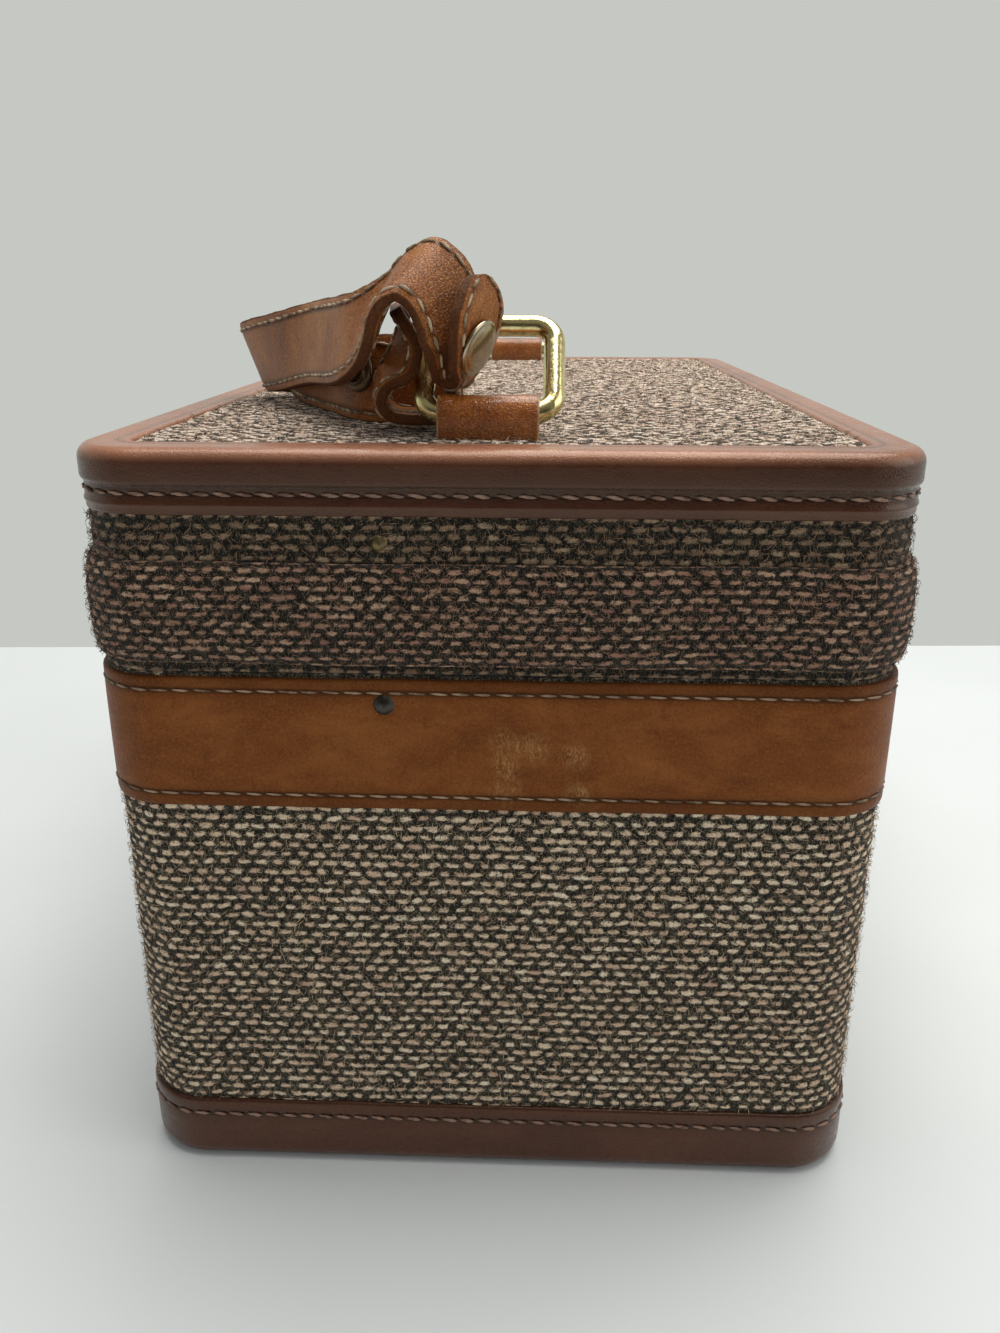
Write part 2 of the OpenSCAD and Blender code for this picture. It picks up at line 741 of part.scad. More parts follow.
// Stations of the strap: the middle of the strap and the direction across it.
// It starts at the tab's tip, folds inside the near ring, and drapes over the lid and back.
tab_stations = [
    [above_lid([-1.6, 2.7, 41]), [22, -10, 1]],
    [above_lid([-1.3, 2.3, 34.5]), [22, -10.5, 1]],
    [above_lid([-1, 3.7, 25.5]), [22, -11, 0]],
    [above_lid([0.4, 5.9, 19.3]), [20, -8, 0]],
    [above_lid([3, 6.7, 15.8]), [15, -4, 0]],
];
fold_stations = [
    [above_lid([5, 7.8, 14.2]), [12, -3, 0]],
    [above_lid([5.6, 9.8, 13.7]), [12, -2.5, 0]],
    [above_lid([5.2, 11.9, 15]), [12, -3, 1]],
];
drape_stations = [
    [above_lid([2.7, 11.6, 18.6]), [15, -7, 3]],
    [above_lid([1, 10.4, 25]), [18, -10, 7]],
    [above_lid([1, 10.5, 32]), [18, -12, 11]],
    [above_lid([1.2, 13.1, 38.4]), [18, -12.5, 13]],
    [above_lid([1.5, 18.1, 42.2]), [19, -11, 14]],
    [above_lid([2.4, 23.7, 39.8]), [19, -8, 14]],
    [above_lid([4.2, 28.5, 32.8]), [16, -5, 16]],
    [above_lid([8.7, 33.9, 27.6]), [11, -3, 19]],
    [above_lid([19, 41.7, 23.9]), [8, -2, 21]],
    [above_lid([53, 57.3, 21.2]), [4, -2, 24]],
    [above_lid([75, 72.5, 17.5]), [4, 3, 23]],
    [above_lid([97, 85.8, 14.6]), [5, 8.5, 21]],
    [above_lid([108, 87, 14]), [3, 8, 22]],
    [above_lid([110.5, 80, 13.6]), [1, 6, 24]],
    [above_lid([101, 75, 13.2]), [1, 3, 25]],
    [above_lid([79, 65.5, 12.8]), [0, 1, 25]],
    [above_lid([55, 52.1, 12.7]), [0, 0, 25]],
    [above_lid([41, 44.9, 12.7]), [0, 0, 25]],
    [above_lid([32.8, 39.9, 12.7]), [0, 0, 25]],
    [above_lid([28.3, 33.3, 12.7]), [0, 0, 25]],
    [above_lid([27.3, 25, 12.7]), [0, 0, 25]],
    [above_lid([27.2, 17, 12.7]), [0, 0, 25]],
    [above_lid([27.2, 10.5, 12.7]), [0, 0, 25]],
];
strap_stations = concat(tab_stations, fold_stations, drape_stations);
strap_steps = 4;

// Stations of the tongue, which joins the fold to the strap's far end round the ring's side bar
tongue_stations = [
    [above_lid([13.6, 10.3, 11.6]), [14, 0, 0]],
    [above_lid([14.4, 10.7, 7.4]), [17, 0, 0]],
    [above_lid([14.8, 14.1, 4.1]), [19, 0, 0]],
    [above_lid([14.7, 21.1, 3.6]), [20, 0, 0]],
    [above_lid([14, 27.3, 4.6]), [20, 1, 0]],
    [above_lid([13.5, 30.6, 8.8]), [20, 2.5, 1]],
    [above_lid([13.1, 29.3, 13.8]), [20, 5, 3]],
    [above_lid([11.7, 26.1, 16.3]), [19, 8, 3]],
    [above_lid([10.3, 24.2, 19]), [18, 10, 3]],
    [above_lid([10.4, 22.9, 22]), [18, 9, 3]],
    [above_lid([11.2, 22.5, 25.1]), [18.5, 6.5, 2.5]],
    [above_lid([11.8, 23.1, 28]), [19, 4.5, 2]],
    [above_lid([12.2, 24.5, 31]), [19, 3, 2]],
];

// Curve through a list of stations; part 0 is the middle and part 1 the direction across
function unit(v) = v / norm(v);
function knot(list, i) = list[max(0, min(len(list) - 1, i))];
function blend(a, b, c, d, t) =
    0.5 * (2 * b + (c - a) * t + (2 * a - 5 * b + 4 * c - d) * t * t + (3 * b - a - 3 * c + d) * t * t * t);
function curve_at(list, k, part) =
    let (i = min(floor(k / strap_steps), len(list) - 2), t = k / strap_steps - i)
    blend(knot(list, i - 1)[part], knot(list, i)[part], knot(list, i + 1)[part], knot(list, i + 2)[part], t);
function curve(list, part) = [for (k = [0:(len(list) - 1) * strap_steps]) curve_at(list, k, part)];
function running(list, k) = k == 0 ? 0 : running(list, k - 1) + norm(list[k] - list[k - 1]);
strap_mid = curve(strap_stations, 0);
strap_dir = [for (d = curve(strap_stations, 1)) unit(d)];
strap_n = len(strap_mid) - 1;
strap_run = [for (k = [0:strap_n]) running(strap_mid, k)];
strap_len = strap_run[strap_n];
fold_run = strap_run[(len(tab_stations) + 1) * strap_steps];
tongue_mid = curve(tongue_stations, 0);
tongue_dir = [for (d = curve(tongue_stations, 1)) unit(d)];
tongue_n = len(tongue_mid) - 1;
tongue_run = [for (k = [0:tongue_n]) running(tongue_mid, k)];

// Half widths at a running length: rounded at the ends and drawn in at the fold
function end_half(s, w) = s >= w / 2 ? w / 2 : sqrt(max(0, s * (w - s)));
function strap_half(s) =
    min(end_half(s + 0.3, strap_w), end_half(strap_len - s + 0.3, strap_w),
        strap_w / 2 - (strap_w - strap_waist) / 2 * exp(-pow((s - fold_run) / 13, 2)));
function tongue_half(s) = min(end_half(s + 3, tongue_w), end_half(tongue_run[tongue_n] - s + 3, tongue_w));

// Cross-section of a strap at one station, with eased edges
function strap_ring(mid, dir, k, half) =
    let (n = len(mid) - 1, along = unit(mid[min(k + 1, n)] - mid[max(k - 1, 0)]),
         across = dir[k], lean = norm(cross(along, across)),
         up = cross(along, across) / lean, w = max(half, 1.2) / lean, h = strap_t / 2, e = 0.7)
    [for (q = [[w, h - e], [w - e, h], [e - w, h], [-w, h - e], [-w, e - h], [e - w, -h], [w - e, -h], [w, e - h]])
        mid[k] + across * q[0] + up * q[1]];

// Closed skin over a list of rings that hold the same number of points
module skin_over(rings) {
    n = len(rings);
    m = len(rings[0]);
    points = [for (r = rings, p = r) p];
    sides = [for (i = [0:n - 2], j = [0:m - 1]) let (a = i * m + j, b = i * m + (j + 1) % m)
        each [[a, a + m, b], [b, a + m, b + m]]];
    polyhedron(points, concat(
        [[for (j = [0:m - 1]) j]], sides, [[for (j = [m - 1:-1:0]) (n - 1) * m + j]]), convexity = 8);
}

module handle_strap() {
    color("chocolate")
        skin_over([for (k = [0:strap_n]) strap_ring(strap_mid, strap_dir, k, strap_half(strap_run[k]))]);
}

module strap_tongue() {
    color("chocolate")
        skin_over([for (k = [0:tongue_n]) strap_ring(tongue_mid, tongue_dir, k, tongue_half(tongue_run[k]))]);
}

// Places a fitting on the strap: k is the station, out is 1 for the face it sits on, shift is across it
module on_strap(k, out, shift = 0) {
    along = unit(strap_mid[k + 1] - strap_mid[k - 1]);
    n = out * unit(cross(along, strap_dir[k]));
    translate(strap_mid[k] + strap_dir[k] * shift + n * (strap_t / 2 + 0.15))
        rotate([0, acos(n[2]), atan2(n[1], n[0])]) children();
}

// Domed stud cap on the strap's tab
module strap_cap() {
    color("goldenrod")
        on_strap(2 * strap_steps + 1, 1) {
            cylinder(d = cap_d, h = 0.8);
            translate([0, 0, 0.8]) rivet_head(cap_d - 1.4, cap_h - 0.8);
        }
}

// Open socket of the snap, on the face that looks into the fold
module snap_socket() {
    color("gray")
        on_strap((len(strap_stations) - 5) * strap_steps + 1, 1, socket_lift)
            rotate_extrude()
                polygon([[socket_bore / 2, 0], [socket_d / 2, 0], [socket_d / 2 - 0.6, 1],
                         [socket_bore / 2 + 1.4, 1.2], [socket_bore / 2 + 1, 2], [socket_bore / 2, 2]]);
}

// Stay link along +X from its first pivot, with a hole at each end
module link(rise, h) {
    rotate([0, 0, rise])
        difference() {
            linear_extrude(height = h) {
                translate([0, -link_w / 2]) square([link_l, link_w]);
                for (x = [0, link_l]) translate([x, 0]) circle(d = link_w);
            }
            for (x = [0, link_l])
                translate([x, 0, -eps]) cylinder(d = rivet_d + 2 * run, h = h + 2 * eps);
        }
}

// Lower links turn on the body's rivets, upper links on the lid's
module stay_lower(side) {
    color("silver")
        translate([side * stay_x - (side > 0 ? link_t : 0), stay_y, body_pivot_z])
            rotate([90, 0, 90]) link(180 - elbow_rise, link_t);
}

module stay_upper(side) {
    color("silver")
        translate([side * upper_x - (side > 0 ? link_t : 0), stay_y, lid_pivot_z])
            rotate([90, 0, 90]) link(180 + elbow_rise, link_t);
}

module tray() {
    color("wheat")
        difference() {
            translate([0, 0, tray_z]) linear_extrude(height = tray_h) rounded(tray_l, tray_w, tray_r);
            translate([0, 0, tray_z + tray_t])
                linear_extrude(height = tray_h)
                    rounded(tray_l - 2 * tray_t, tray_w - 2 * tray_t, tray_r - tray_t);
        }
}

// Dividers: one lengthwise board and two short ones, on the tray's floor
module tray_dividers() {
    board_h = tray_h - tray_t - 6;
    color("wheat")
        translate([0, 0, tray_z + tray_t + board_h / 2]) {
            cube([tray_l - 2 * tray_t - 0.2, tray_t, board_h], center = true);
            for (side = [-1, 1])
                translate([side * tray_l / 6, -tray_w / 4 + tray_t / 2, 0])
                    cube([tray_t, tray_w / 2 - tray_t - 0.2, board_h], center = true);
        }
}

// Leather pull tabs on the tray's short walls
module tray_pulls() {
    pull_w = 16;
    pull_h = 12;
    pull_t = 1.4;
    pull_hole = 6;
    color("peru")
        for (side = [-1, 1])
            translate([side * (tray_l / 2 - tray_t - pull_t / 2 - 0.05), 0, tray_z + tray_h + 1.5])
                difference() {
                    cube([pull_t, pull_w, pull_h + 2], center = true);
                    translate([0, 0, 2])
                        rotate([0, 90, 0]) cylinder(d = pull_hole, h = pull_hole, center = true);
                }
}

body_box();
body_cloth();
belt_band();
base_trim();
base_panel();
body_lining();
body_rim();
tray_ledges();
body_leaf(-1);  // hinge_left_body_leaf
body_leaf(1);  // hinge_right_body_leaf
hinge_pins();
latch_case(-1);  // latch_left_case
latch_case(1);  // latch_right_case
body_stay_rivets();
lid_box();
lid_cloth();
lid_top_cloth();
lid_bumper();
lid_trim();
lid_rim();
lid_lining();
mirror_frame();
mirror_glass();
lid_leaf(-1);  // hinge_left_lid_leaf
lid_leaf(1);  // hinge_right_lid_leaf
hasp_plate(-1);  // hasp_left_plate
hasp_plate(1);  // hasp_right_plate
lid_stay_rivets();
chape(-1);  // chape_near
chape(1);  // chape_far
chape_plates();
hasp(-1);  // hasp_left
hasp(1);  // hasp_right
slider(-1);  // slider_left
slider(1);  // slider_right
key_plug(-1);  // key_plug_left
key_plug(1);  // key_plug_right
near_ring();
handle_strap();
strap_tongue();
strap_cap();
snap_socket();
far_ring();
stay_lower(-1);  // stay_left_lower
stay_upper(-1);  // stay_left_upper
stay_lower(1);  // stay_right_lower
stay_upper(1);  // stay_right_upper
tray();
tray_dividers();
tray_pulls();
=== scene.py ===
"""Looks of the cosmetic train case: tweed, leather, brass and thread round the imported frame.

Sizes are in millimetres and become metres where a mesh is made. X runs along the case, the latches
face -Y and Z is up. Each sub-assembly is a class that builds its own pieces and dresses its nodes.
"""

import logging
import math
from dataclasses import dataclass, field
from enum import Enum
from typing import Iterable, Sequence

import bpy
import numpy as np
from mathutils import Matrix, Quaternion, Vector


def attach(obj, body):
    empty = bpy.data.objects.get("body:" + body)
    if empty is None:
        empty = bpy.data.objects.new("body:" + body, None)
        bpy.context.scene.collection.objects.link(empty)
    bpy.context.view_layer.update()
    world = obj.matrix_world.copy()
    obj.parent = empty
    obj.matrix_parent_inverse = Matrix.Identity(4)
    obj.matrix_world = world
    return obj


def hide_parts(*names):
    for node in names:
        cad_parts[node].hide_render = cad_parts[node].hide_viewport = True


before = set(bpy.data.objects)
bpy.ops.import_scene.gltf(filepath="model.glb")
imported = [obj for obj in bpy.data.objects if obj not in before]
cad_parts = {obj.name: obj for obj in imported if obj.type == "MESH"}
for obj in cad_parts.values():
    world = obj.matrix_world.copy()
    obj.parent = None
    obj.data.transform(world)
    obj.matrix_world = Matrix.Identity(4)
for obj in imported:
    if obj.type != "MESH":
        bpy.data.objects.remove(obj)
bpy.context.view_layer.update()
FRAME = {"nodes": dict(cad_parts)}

LOG = logging.getLogger("train_case")
MM = 0.001

Array = np.ndarray
Socket = bpy.types.NodeSocket
Colour = tuple[float, float, float]
Point = tuple[float, float, float]
Stations = list[tuple[Point, Point]]


def srgb(red: int, green: int, blue: int) -> Colour:
    """Turns a colour as it looks on a screen, 0 to 255, into linear values.

    Args:
        red: its red share.
        green: its green share.
        blue: its blue share.

    Returns:
        The colour in linear values from 0 to 1.
    """
    def one(value: float) -> float:
        """One channel of the colour."""
        value /= 255
        return value / 12.92 if value <= 0.04045 else ((value + 0.055) / 1.055) ** 2.4

    return one(red), one(green), one(blue)


# Materials


class Nodes:
    """A node tree, with short calls for the nodes that the finishes and the surroundings share."""

    def __init__(self, tree: bpy.types.NodeTree) -> None:
        """Empties a tree to build in.

        Args:
            tree: the tree of a material or of the world.
        """
        self.tree = tree
        self.tree.nodes.clear()

    def put(self, socket: Socket, value: object) -> None:
        """Links a socket, or sets its value when no socket is given.

        Args:
            socket: the input socket.
            value: an output socket to link, a colour, a number or a vector.
        """
        if isinstance(value, bpy.types.NodeSocket):
            self.tree.links.new(value, socket)
        elif isinstance(value, tuple) and socket.type == "RGBA":
            socket.default_value = (*value[:3], 1.0)
        else:
            socket.default_value = value

    def feed(self, node: bpy.types.Node, **sockets: object) -> None:
        """Feeds a node's sockets; an underscore in a name stands for a space."""
        for name, value in sockets.items():
            self.put(node.inputs[name.replace("_", " ")], value)

    def new(self, kind: str, **sockets: object) -> bpy.types.Node:
        """Adds a node and feeds its sockets.

        Args:
            kind: the node's type.
            sockets: what goes into each named input.

        Returns:
            The node.
        """
        node = self.tree.nodes.new(kind)
        self.feed(node, **sockets)
        return node

    def math(self, operation: str, *values: object, clamp: bool = False) -> Socket:
        """One arithmetic step on sockets or numbers.

        Args:
            operation: the name of the step.
            values: its inputs in order.
            clamp: whether the result is kept from 0 to 1.

        Returns:
            The result's socket.
        """
        node = self.new("ShaderNodeMath")
        node.operation = operation
        node.use_clamp = clamp
        for socket, value in zip(node.inputs, values):
            self.put(socket, value)
        return node.outputs[0]

    def add(self, first: object, second: object, clamp: bool = False) -> Socket:
        """Sum of two values."""
        return self.math("ADD", first, second, clamp=clamp)

    def times(self, first: object, second: object, clamp: bool = False) -> Socket:
        """Product of two values."""
        return self.math("MULTIPLY", first, second, clamp=clamp)

    def span(self, value: Socket, low: float, high: float, to_low: float = 0.0, to_high: float = 1.0,
             smooth: bool = True) -> Socket:
        """Maps a range of a value onto another range, clamped.

        Args:
            value: the value.
            low: where its range starts.
            high: where its range ends.
            to_low: what the start becomes.
            to_high: what the end becomes.
            smooth: whether the change eases in and out.

        Returns:
            The socket with the mapped value.
        """
        node = self.new("ShaderNodeMapRange", Value=value, From_Min=low, From_Max=high, To_Min=to_low,
                        To_Max=to_high)
        node.interpolation_type = "SMOOTHSTEP" if smooth else "LINEAR"
        return node.outputs[0]

    def mix(self, factor: object, low: object, high: object) -> Socket:
        """Mixes two colours.

        Args:
            factor: the share of the second colour.
            low: the colour at 0.
            high: the colour at 1.

        Returns:
            The mixed colour's socket.
        """
        node = self.new("ShaderNodeMix")
        node.data_type = "RGBA"
        for index, value in ((0, factor), (6, low), (7, high)):
            self.put(node.inputs[index], value)
        return node.outputs[2]


class Graph(Nodes):
    """The node tree of one material, with the patterns that the finishes share."""

    def __init__(self, name: str) -> None:
        """Starts a material with one Principled shader.

        Args:
            name: the material's name.
        """
        self.material = bpy.data.materials.new(name)
        self.material.use_nodes = True
        super().__init__(self.material.node_tree)
        self.shader = self.new("ShaderNodeBsdfPrincipled")
        self.new("ShaderNodeOutputMaterial", Surface=self.shader.outputs["BSDF"])
        self.place = self.new("ShaderNodeTexCoord").outputs["Object"]

    def surface(self, **sockets: object) -> None:
        """Feeds the shader's sockets."""
        self.feed(self.shader, **sockets)

    def attribute(self, name: str) -> Socket:
        """Reads a value that the mesh carries at its points.

        Args:
            name: the value's name.

        Returns:
            Its socket.
        """
        node = self.new("ShaderNodeAttribute")
        node.attribute_name = name
        return node.outputs["Fac"]

    def stretched(self, factors: Point) -> Socket:
        """Object coordinates scaled by a factor along each axis."""
        return self.new("ShaderNodeMapping", Vector=self.place, Scale=factors).outputs["Vector"]

    def noise(self, size: float, detail: float = 3.0, rough: float = 0.55, warp: float = 0.0,
              where: Socket | None = None) -> Socket:
        """Soft noise.

        Args:
            size: width of its features, in mm.
            detail: number of finer layers.
            rough: share of the finer layers.
            warp: distortion.
            where: coordinates, or the object's own.

        Returns:
            The socket with values around 0.5.
        """
        node = self.new("ShaderNodeTexNoise", Vector=where or self.place, Scale=1 / (size * MM),
                        Detail=detail, Roughness=rough, Distortion=warp)
        return node.outputs["Fac"]

    def pores(self, size: float) -> Socket:
        """Distance to the borders of a cell pattern of a given width in mm.

        Args:
            size: the width of a cell in mm.

        Returns:
            The distance's socket.
        """
        node = self.new("ShaderNodeTexVoronoi", Vector=self.place, Scale=1 / (size * MM))
        node.feature = "DISTANCE_TO_EDGE"
        return node.outputs["Distance"]

    def ramp(self, value: Socket, *stops: tuple[float, Colour]) -> Socket:
        """Turns a value into colours at given stops.

        Args:
            value: the value.
            stops: pairs of a place from 0 to 1 and the colour there.

        Returns:
            The colour's socket.
        """
        node = self.new("ShaderNodeValToRGB", Fac=value)
        elements = node.color_ramp.elements
        while len(elements) < len(stops):
            elements.new(0.5)
        for element, (place, colour) in zip(elements, stops):
            element.position = place
            element.color = (*colour, 1.0)
        return node.outputs["Color"]

    def spot(self, centre: Point, radius: float) -> Socket:
        """Soft round spot: 1 at its centre, in mm, and 0 beyond its radius.

        Args:
            centre: the middle of the spot in mm.
            radius: its radius in mm.

        Returns:
            The spot's socket.
        """
        node = self.new("ShaderNodeVectorMath")
        node.operation = "DISTANCE"
        self.put(node.inputs[0], self.place)
        self.put(node.inputs[1], tuple(c * MM for c in centre))
        return self.span(node.outputs["Value"], radius * MM * 0.2, radius * MM, 1.0, 0.0)

    def bump(self, height: Socket, depth: float) -> Socket:
        """Turns a height from 0 to 1 into a normal; depth is in mm."""
        return self.new("ShaderNodeBump", Strength=1.0, Distance=depth * MM, Height=height).outputs["Normal"]


@dataclass(frozen=True)
class Finish:
    """What all finishes share: a name, and how a material is made from its nodes."""

    name: str

    def material(self) -> bpy.types.Material:
        """Builds the finish's material.

        Returns:
            The material.
        """
        g = Graph(self.name)
        self.paint(g)
        return g.material

    def paint(self, g: Graph) -> None:
        """Builds the nodes of the finish.

        Args:
            g: the material's graph.
        """
        raise NotImplementedError


@dataclass(frozen=True)
class Tweed(Finish):
    """Wool cloth with pale slubs on dark yarn; the mesh carries the slubs' mask and tone."""

    slub: Colour
    slub_pink: Colour
    slub_pale: Colour
    yarn: Colour
    hair: Colour = srgb(112, 98, 78)
    ragged_mask: float = 1.7
    ragged_tone: float = 1.3

    def paint(self, g: Graph) -> None:
        """Builds the nodes of the cloth.

        Args:
            g: the material's graph.
        """
        fibre = g.noise(0.8, 4, 0.8, 0.8)
        level = g.noise(0.6, 3, 0.7, 1.2, g.stretched((0.3, 0.3, 1.0)))
        upright = g.noise(0.5, 3, 0.75, 1.6, g.stretched((1.0, 1.0, 0.35)))
        ragged = g.math("SUBTRACT", g.add(fibre, level), 1.0)
        mask = g.add(g.attribute("slub"), g.times(ragged, self.ragged_mask))
        tone = g.add(g.attribute("tone"), g.times(ragged, self.ragged_tone))
        pale = g.ramp(tone, (0.1, self.slub_pink), (0.5, self.slub), (0.95, self.slub_pale))
        pale = g.mix(g.span(mask, 0.35, 0.85, 0.55, 0.0), pale, self.yarn)
        dark = g.mix(g.span(upright, 0.52, 0.63, 0.0, 0.9), self.yarn, self.hair)
        colour = g.mix(g.span(mask, 0.14, 0.62), dark, pale)
        colour = g.mix(g.span(g.noise(0.7, 3, 0.7, 1.8), 0.56, 0.68, 0.0, 0.5), colour, self.yarn)
        g.surface(Base_Color=colour, Roughness=0.95, Specular_IOR_Level=0.1, Sheen_Weight=0.12,
                  Sheen_Roughness=0.5, Normal=g.bump(g.add(fibre, upright), 0.3))


@dataclass(frozen=True)
class Wool(Finish):
    """Loose wool hairs that stand off the tweed; the mesh carries their tone."""

    dark: Colour = srgb(48, 43, 36)
    pale: Colour = srgb(170, 150, 126)

    def paint(self, g: Graph) -> None:
        """Builds the nodes of the hairs.

        Args:
            g: the material's graph.
        """
        tone = g.add(g.attribute("tone"), g.math("SUBTRACT", g.noise(2.5, 2), 0.5))
        g.surface(Base_Color=g.mix(g.span(tone, 0.3, 0.7), self.dark, self.pale), Roughness=0.9,
                  Specular_IOR_Level=0.1)


@dataclass(frozen=True)
class Leather(Finish):
    """Leather or leathercloth: mottled colour, fine grain, worn light spots and dark creases.

    The mesh may carry "shade", painted shade that darkens grooves, folds and faces turned from the light, a
    value that paints the top paler as a painted highlight for the top light, and "edge", which shows raw cut
    leather.
    """

    base: Colour
    dark: Colour
    light: Colour
    mottle: float = 14.0
    flow: Point = (1.0, 1.0, 1.0)
    grain: float = 1.1
    grain_depth: float = 0.12
    speckle: float = 0.0
    wear: float = 0.25
    gloss: float = 0.42
    coat: float = 0.0
    haze: float = 0.3
    sheen: Colour = (1.0, 0.76, 0.56)
    shaded: bool = False
    # Colour of the painted highlight on the top, which stands in for the top light.
    rubbed: Colour | None = None
    cut: Colour | None = None
    scuffs: tuple[tuple[Point, float], ...] = ()
    scuff_share: float = 0.62
    scuff_dust: Colour = (0.0, 0.10, 0.06)

    def paint(self, g: Graph) -> None:
        """Builds the nodes of the leather.

        Args:
            g: the material's graph.
        """
        cloud = g.noise(self.mottle, 6, 0.62, 0.5, g.stretched(self.flow))
        fine = g.noise(2.2, 6, 0.7, 0.3, g.stretched(self.flow))
        colour = g.ramp(cloud, (0.24, self.dark), (0.5, self.base), (0.80, self.light))
        colour = g.mix(g.span(fine, 0.50, 0.74, 0.0, self.wear), colour, self.light)
        colour = g.mix(g.span(g.noise(4.5, 5, 0.65, 0.8), 0.54, 0.74, 0.0, 0.6), colour, self.dark)
        # Scratches, light and dark, that run mostly across.
        scratch = g.noise(1.3, 6, 0.8, 2.5, g.stretched((0.35, 0.35, 1.6)))
        colour = g.mix(g.span(scratch, 0.62, 0.72, 0.0, self.wear * 1.8), colour, self.light)
        colour = g.mix(g.span(scratch, 0.28, 0.38, self.wear * 1.5, 0.0), colour, self.dark)
        if self.speckle:
            speck = g.noise(0.75, 4, 0.75, 0.4)
            colour = g.mix(g.span(speck, 0.50, 0.66, 0.0, self.speckle), colour, self.light)
            colour = g.mix(g.span(speck, 0.36, 0.48, self.speckle, 0.0), colour, self.dark)
            fine = g.add(g.times(fine, 0.6), g.times(speck, 0.4))
        # Patchy scuffs, paler and dustier than the leather.
        dusty = tuple(min(1.0, 1.6 * c + dust) for c, dust in zip(self.light, self.scuff_dust))
        for centre, radius in self.scuffs:
            patchy = g.span(g.noise(1.9, 6, 0.85, 1.5, g.stretched((1.4, 1.4, 0.7))), 0.46, 0.62)
            worn = g.times(g.spot(centre, radius), patchy)
            colour = g.mix(g.times(worn, self.scuff_share), colour, dusty)
        pores = g.span(g.pores(self.grain), 0.0, 0.16)
        ground = g.add(g.times(pores, 0.6), g.times(fine, 1.2))
        rough = g.span(fine, 0.3, 0.75, self.gloss - 0.08, self.gloss + 0.16)
        # Painted highlight: where the mesh marks the top, the colour turns paler, standing in for the top
        # light on it.
        if self.rubbed is not None:
            share = g.times(g.attribute("rubbed"), g.span(cloud, 0.3, 0.6, 0.6, 1.0))
            colour = g.mix(share, colour, self.rubbed)
        # Painted shade: darker where the mesh's shade value marks grooves, folds and faces turned from the
        # light.
        if self.shaded:
            deep = tuple(0.3 * c for c in self.dark)
            colour = g.mix(g.times(g.attribute("shade"), 0.85), colour, deep)
        # Raw cut edges: fuzzy, rough and in a colour of their own.
        if self.cut is not None:
            fuzz = g.noise(0.7, 5, 0.75, 0.5)
            raw = g.add(g.attribute("edge"), g.times(g.math("SUBTRACT", fuzz, 0.5), 0.5))
            raw = g.span(raw, 0.35, 0.75)
            colour = g.mix(raw, colour, g.mix(g.span(fuzz, 0.42, 0.72, 0.0, 0.55), self.cut, self.base))
            rough = g.add(rough, g.times(raw, 0.35), clamp=True)
            ground = g.add(ground, g.times(g.times(raw, fuzz), 3.0))
        g.surface(Base_Color=colour, Roughness=rough, Specular_IOR_Level=self.haze, Specular_Tint=self.sheen,
                  Coat_Weight=self.coat, Coat_Roughness=0.14, Normal=g.bump(ground, self.grain_depth))


@dataclass(frozen=True)
class Metal(Finish):
    """Polished or plated metal with tarnish, fine scratches and small dents."""

    bright: Colour
    tarnish: Colour
    spots: float = 0.35
    shine: float = 0.2
    dents: float = 0.25

    def paint(self, g: Graph) -> None:
        """Builds the nodes of the metal.

        Args:
            g: the material's graph.
        """
        cloud = g.noise(5, 5, 0.65, 0.6)
        speck = g.noise(1.0, 4, 0.7)
        dirty = g.times(g.span(cloud, 0.45, 0.7), g.span(speck, 0.35, 0.6, 0.35, 1.0))
        dirty = g.times(dirty, self.spots * 2, clamp=True)
        uneven = 0.05 + 0.15 * self.spots
        rough = g.add(g.span(speck, 0.3, 0.75, self.shine - uneven / 2, self.shine + uneven),
                      g.times(dirty, 0.25))
        g.surface(Base_Color=g.mix(dirty, self.bright, self.tarnish), Metallic=1.0, Roughness=rough,
                  Normal=g.bump(g.add(g.noise(3.5, 2), g.times(speck, 0.15)), self.dents))


@dataclass(frozen=True)
class Thread(Finish):
    """Waxed sewing thread, a little dirty."""

    clean: Colour
    dirty: Colour

    def paint(self, g: Graph) -> None:
        """Builds the nodes of the thread.

        Args:
            g: the material's graph.
        """
        twist = g.noise(0.35, 3, 0.6)
        colour = g.mix(g.span(g.noise(6, 4, 0.65), 0.38, 0.66), self.clean, self.dirty)
        # Painted shade: each stitch turns dark towards its ends, where the thread sinks into its holes.
        deep = tuple(0.12 * c for c in self.dirty)
        g.surface(Base_Color=g.mix(g.times(g.attribute("shade"), 0.95), colour, deep),
                  Roughness=g.span(twist, 0.3, 0.7, 0.5, 0.75), Normal=g.bump(twist, 0.1))


@dataclass(frozen=True)
class Lining(Finish):
    """Woven lining cloth with a moire sheen and faint age spots."""

    base: Colour = srgb(205, 186, 152)
    shade: Colour = srgb(172, 148, 112)

    def paint(self, g: Graph) -> None:
        """Builds the nodes of the lining.

        Args:
            g: the material's graph.
        """
        moire = g.noise(9, 3, 0.5, 1.6, g.stretched((0.35, 1.0, 1.0)))
        warp = g.noise(0.6, 2, 0.5, 0.0, g.stretched((1.0, 1.0, 0.15)))
        weft = g.noise(0.6, 2, 0.5, 0.0, g.stretched((0.15, 0.15, 1.0)))
        colour = g.mix(g.span(moire, 0.4, 0.62), self.shade, self.base)
        colour = g.mix(g.span(g.noise(22, 4), 0.62, 0.75, 0.0, 0.4), colour, self.shade)
        g.surface(Base_Color=colour, Roughness=g.span(moire, 0.35, 0.65, 0.45, 0.7), Sheen_Weight=0.3,
                  Normal=g.bump(g.add(warp, weft), 0.12))


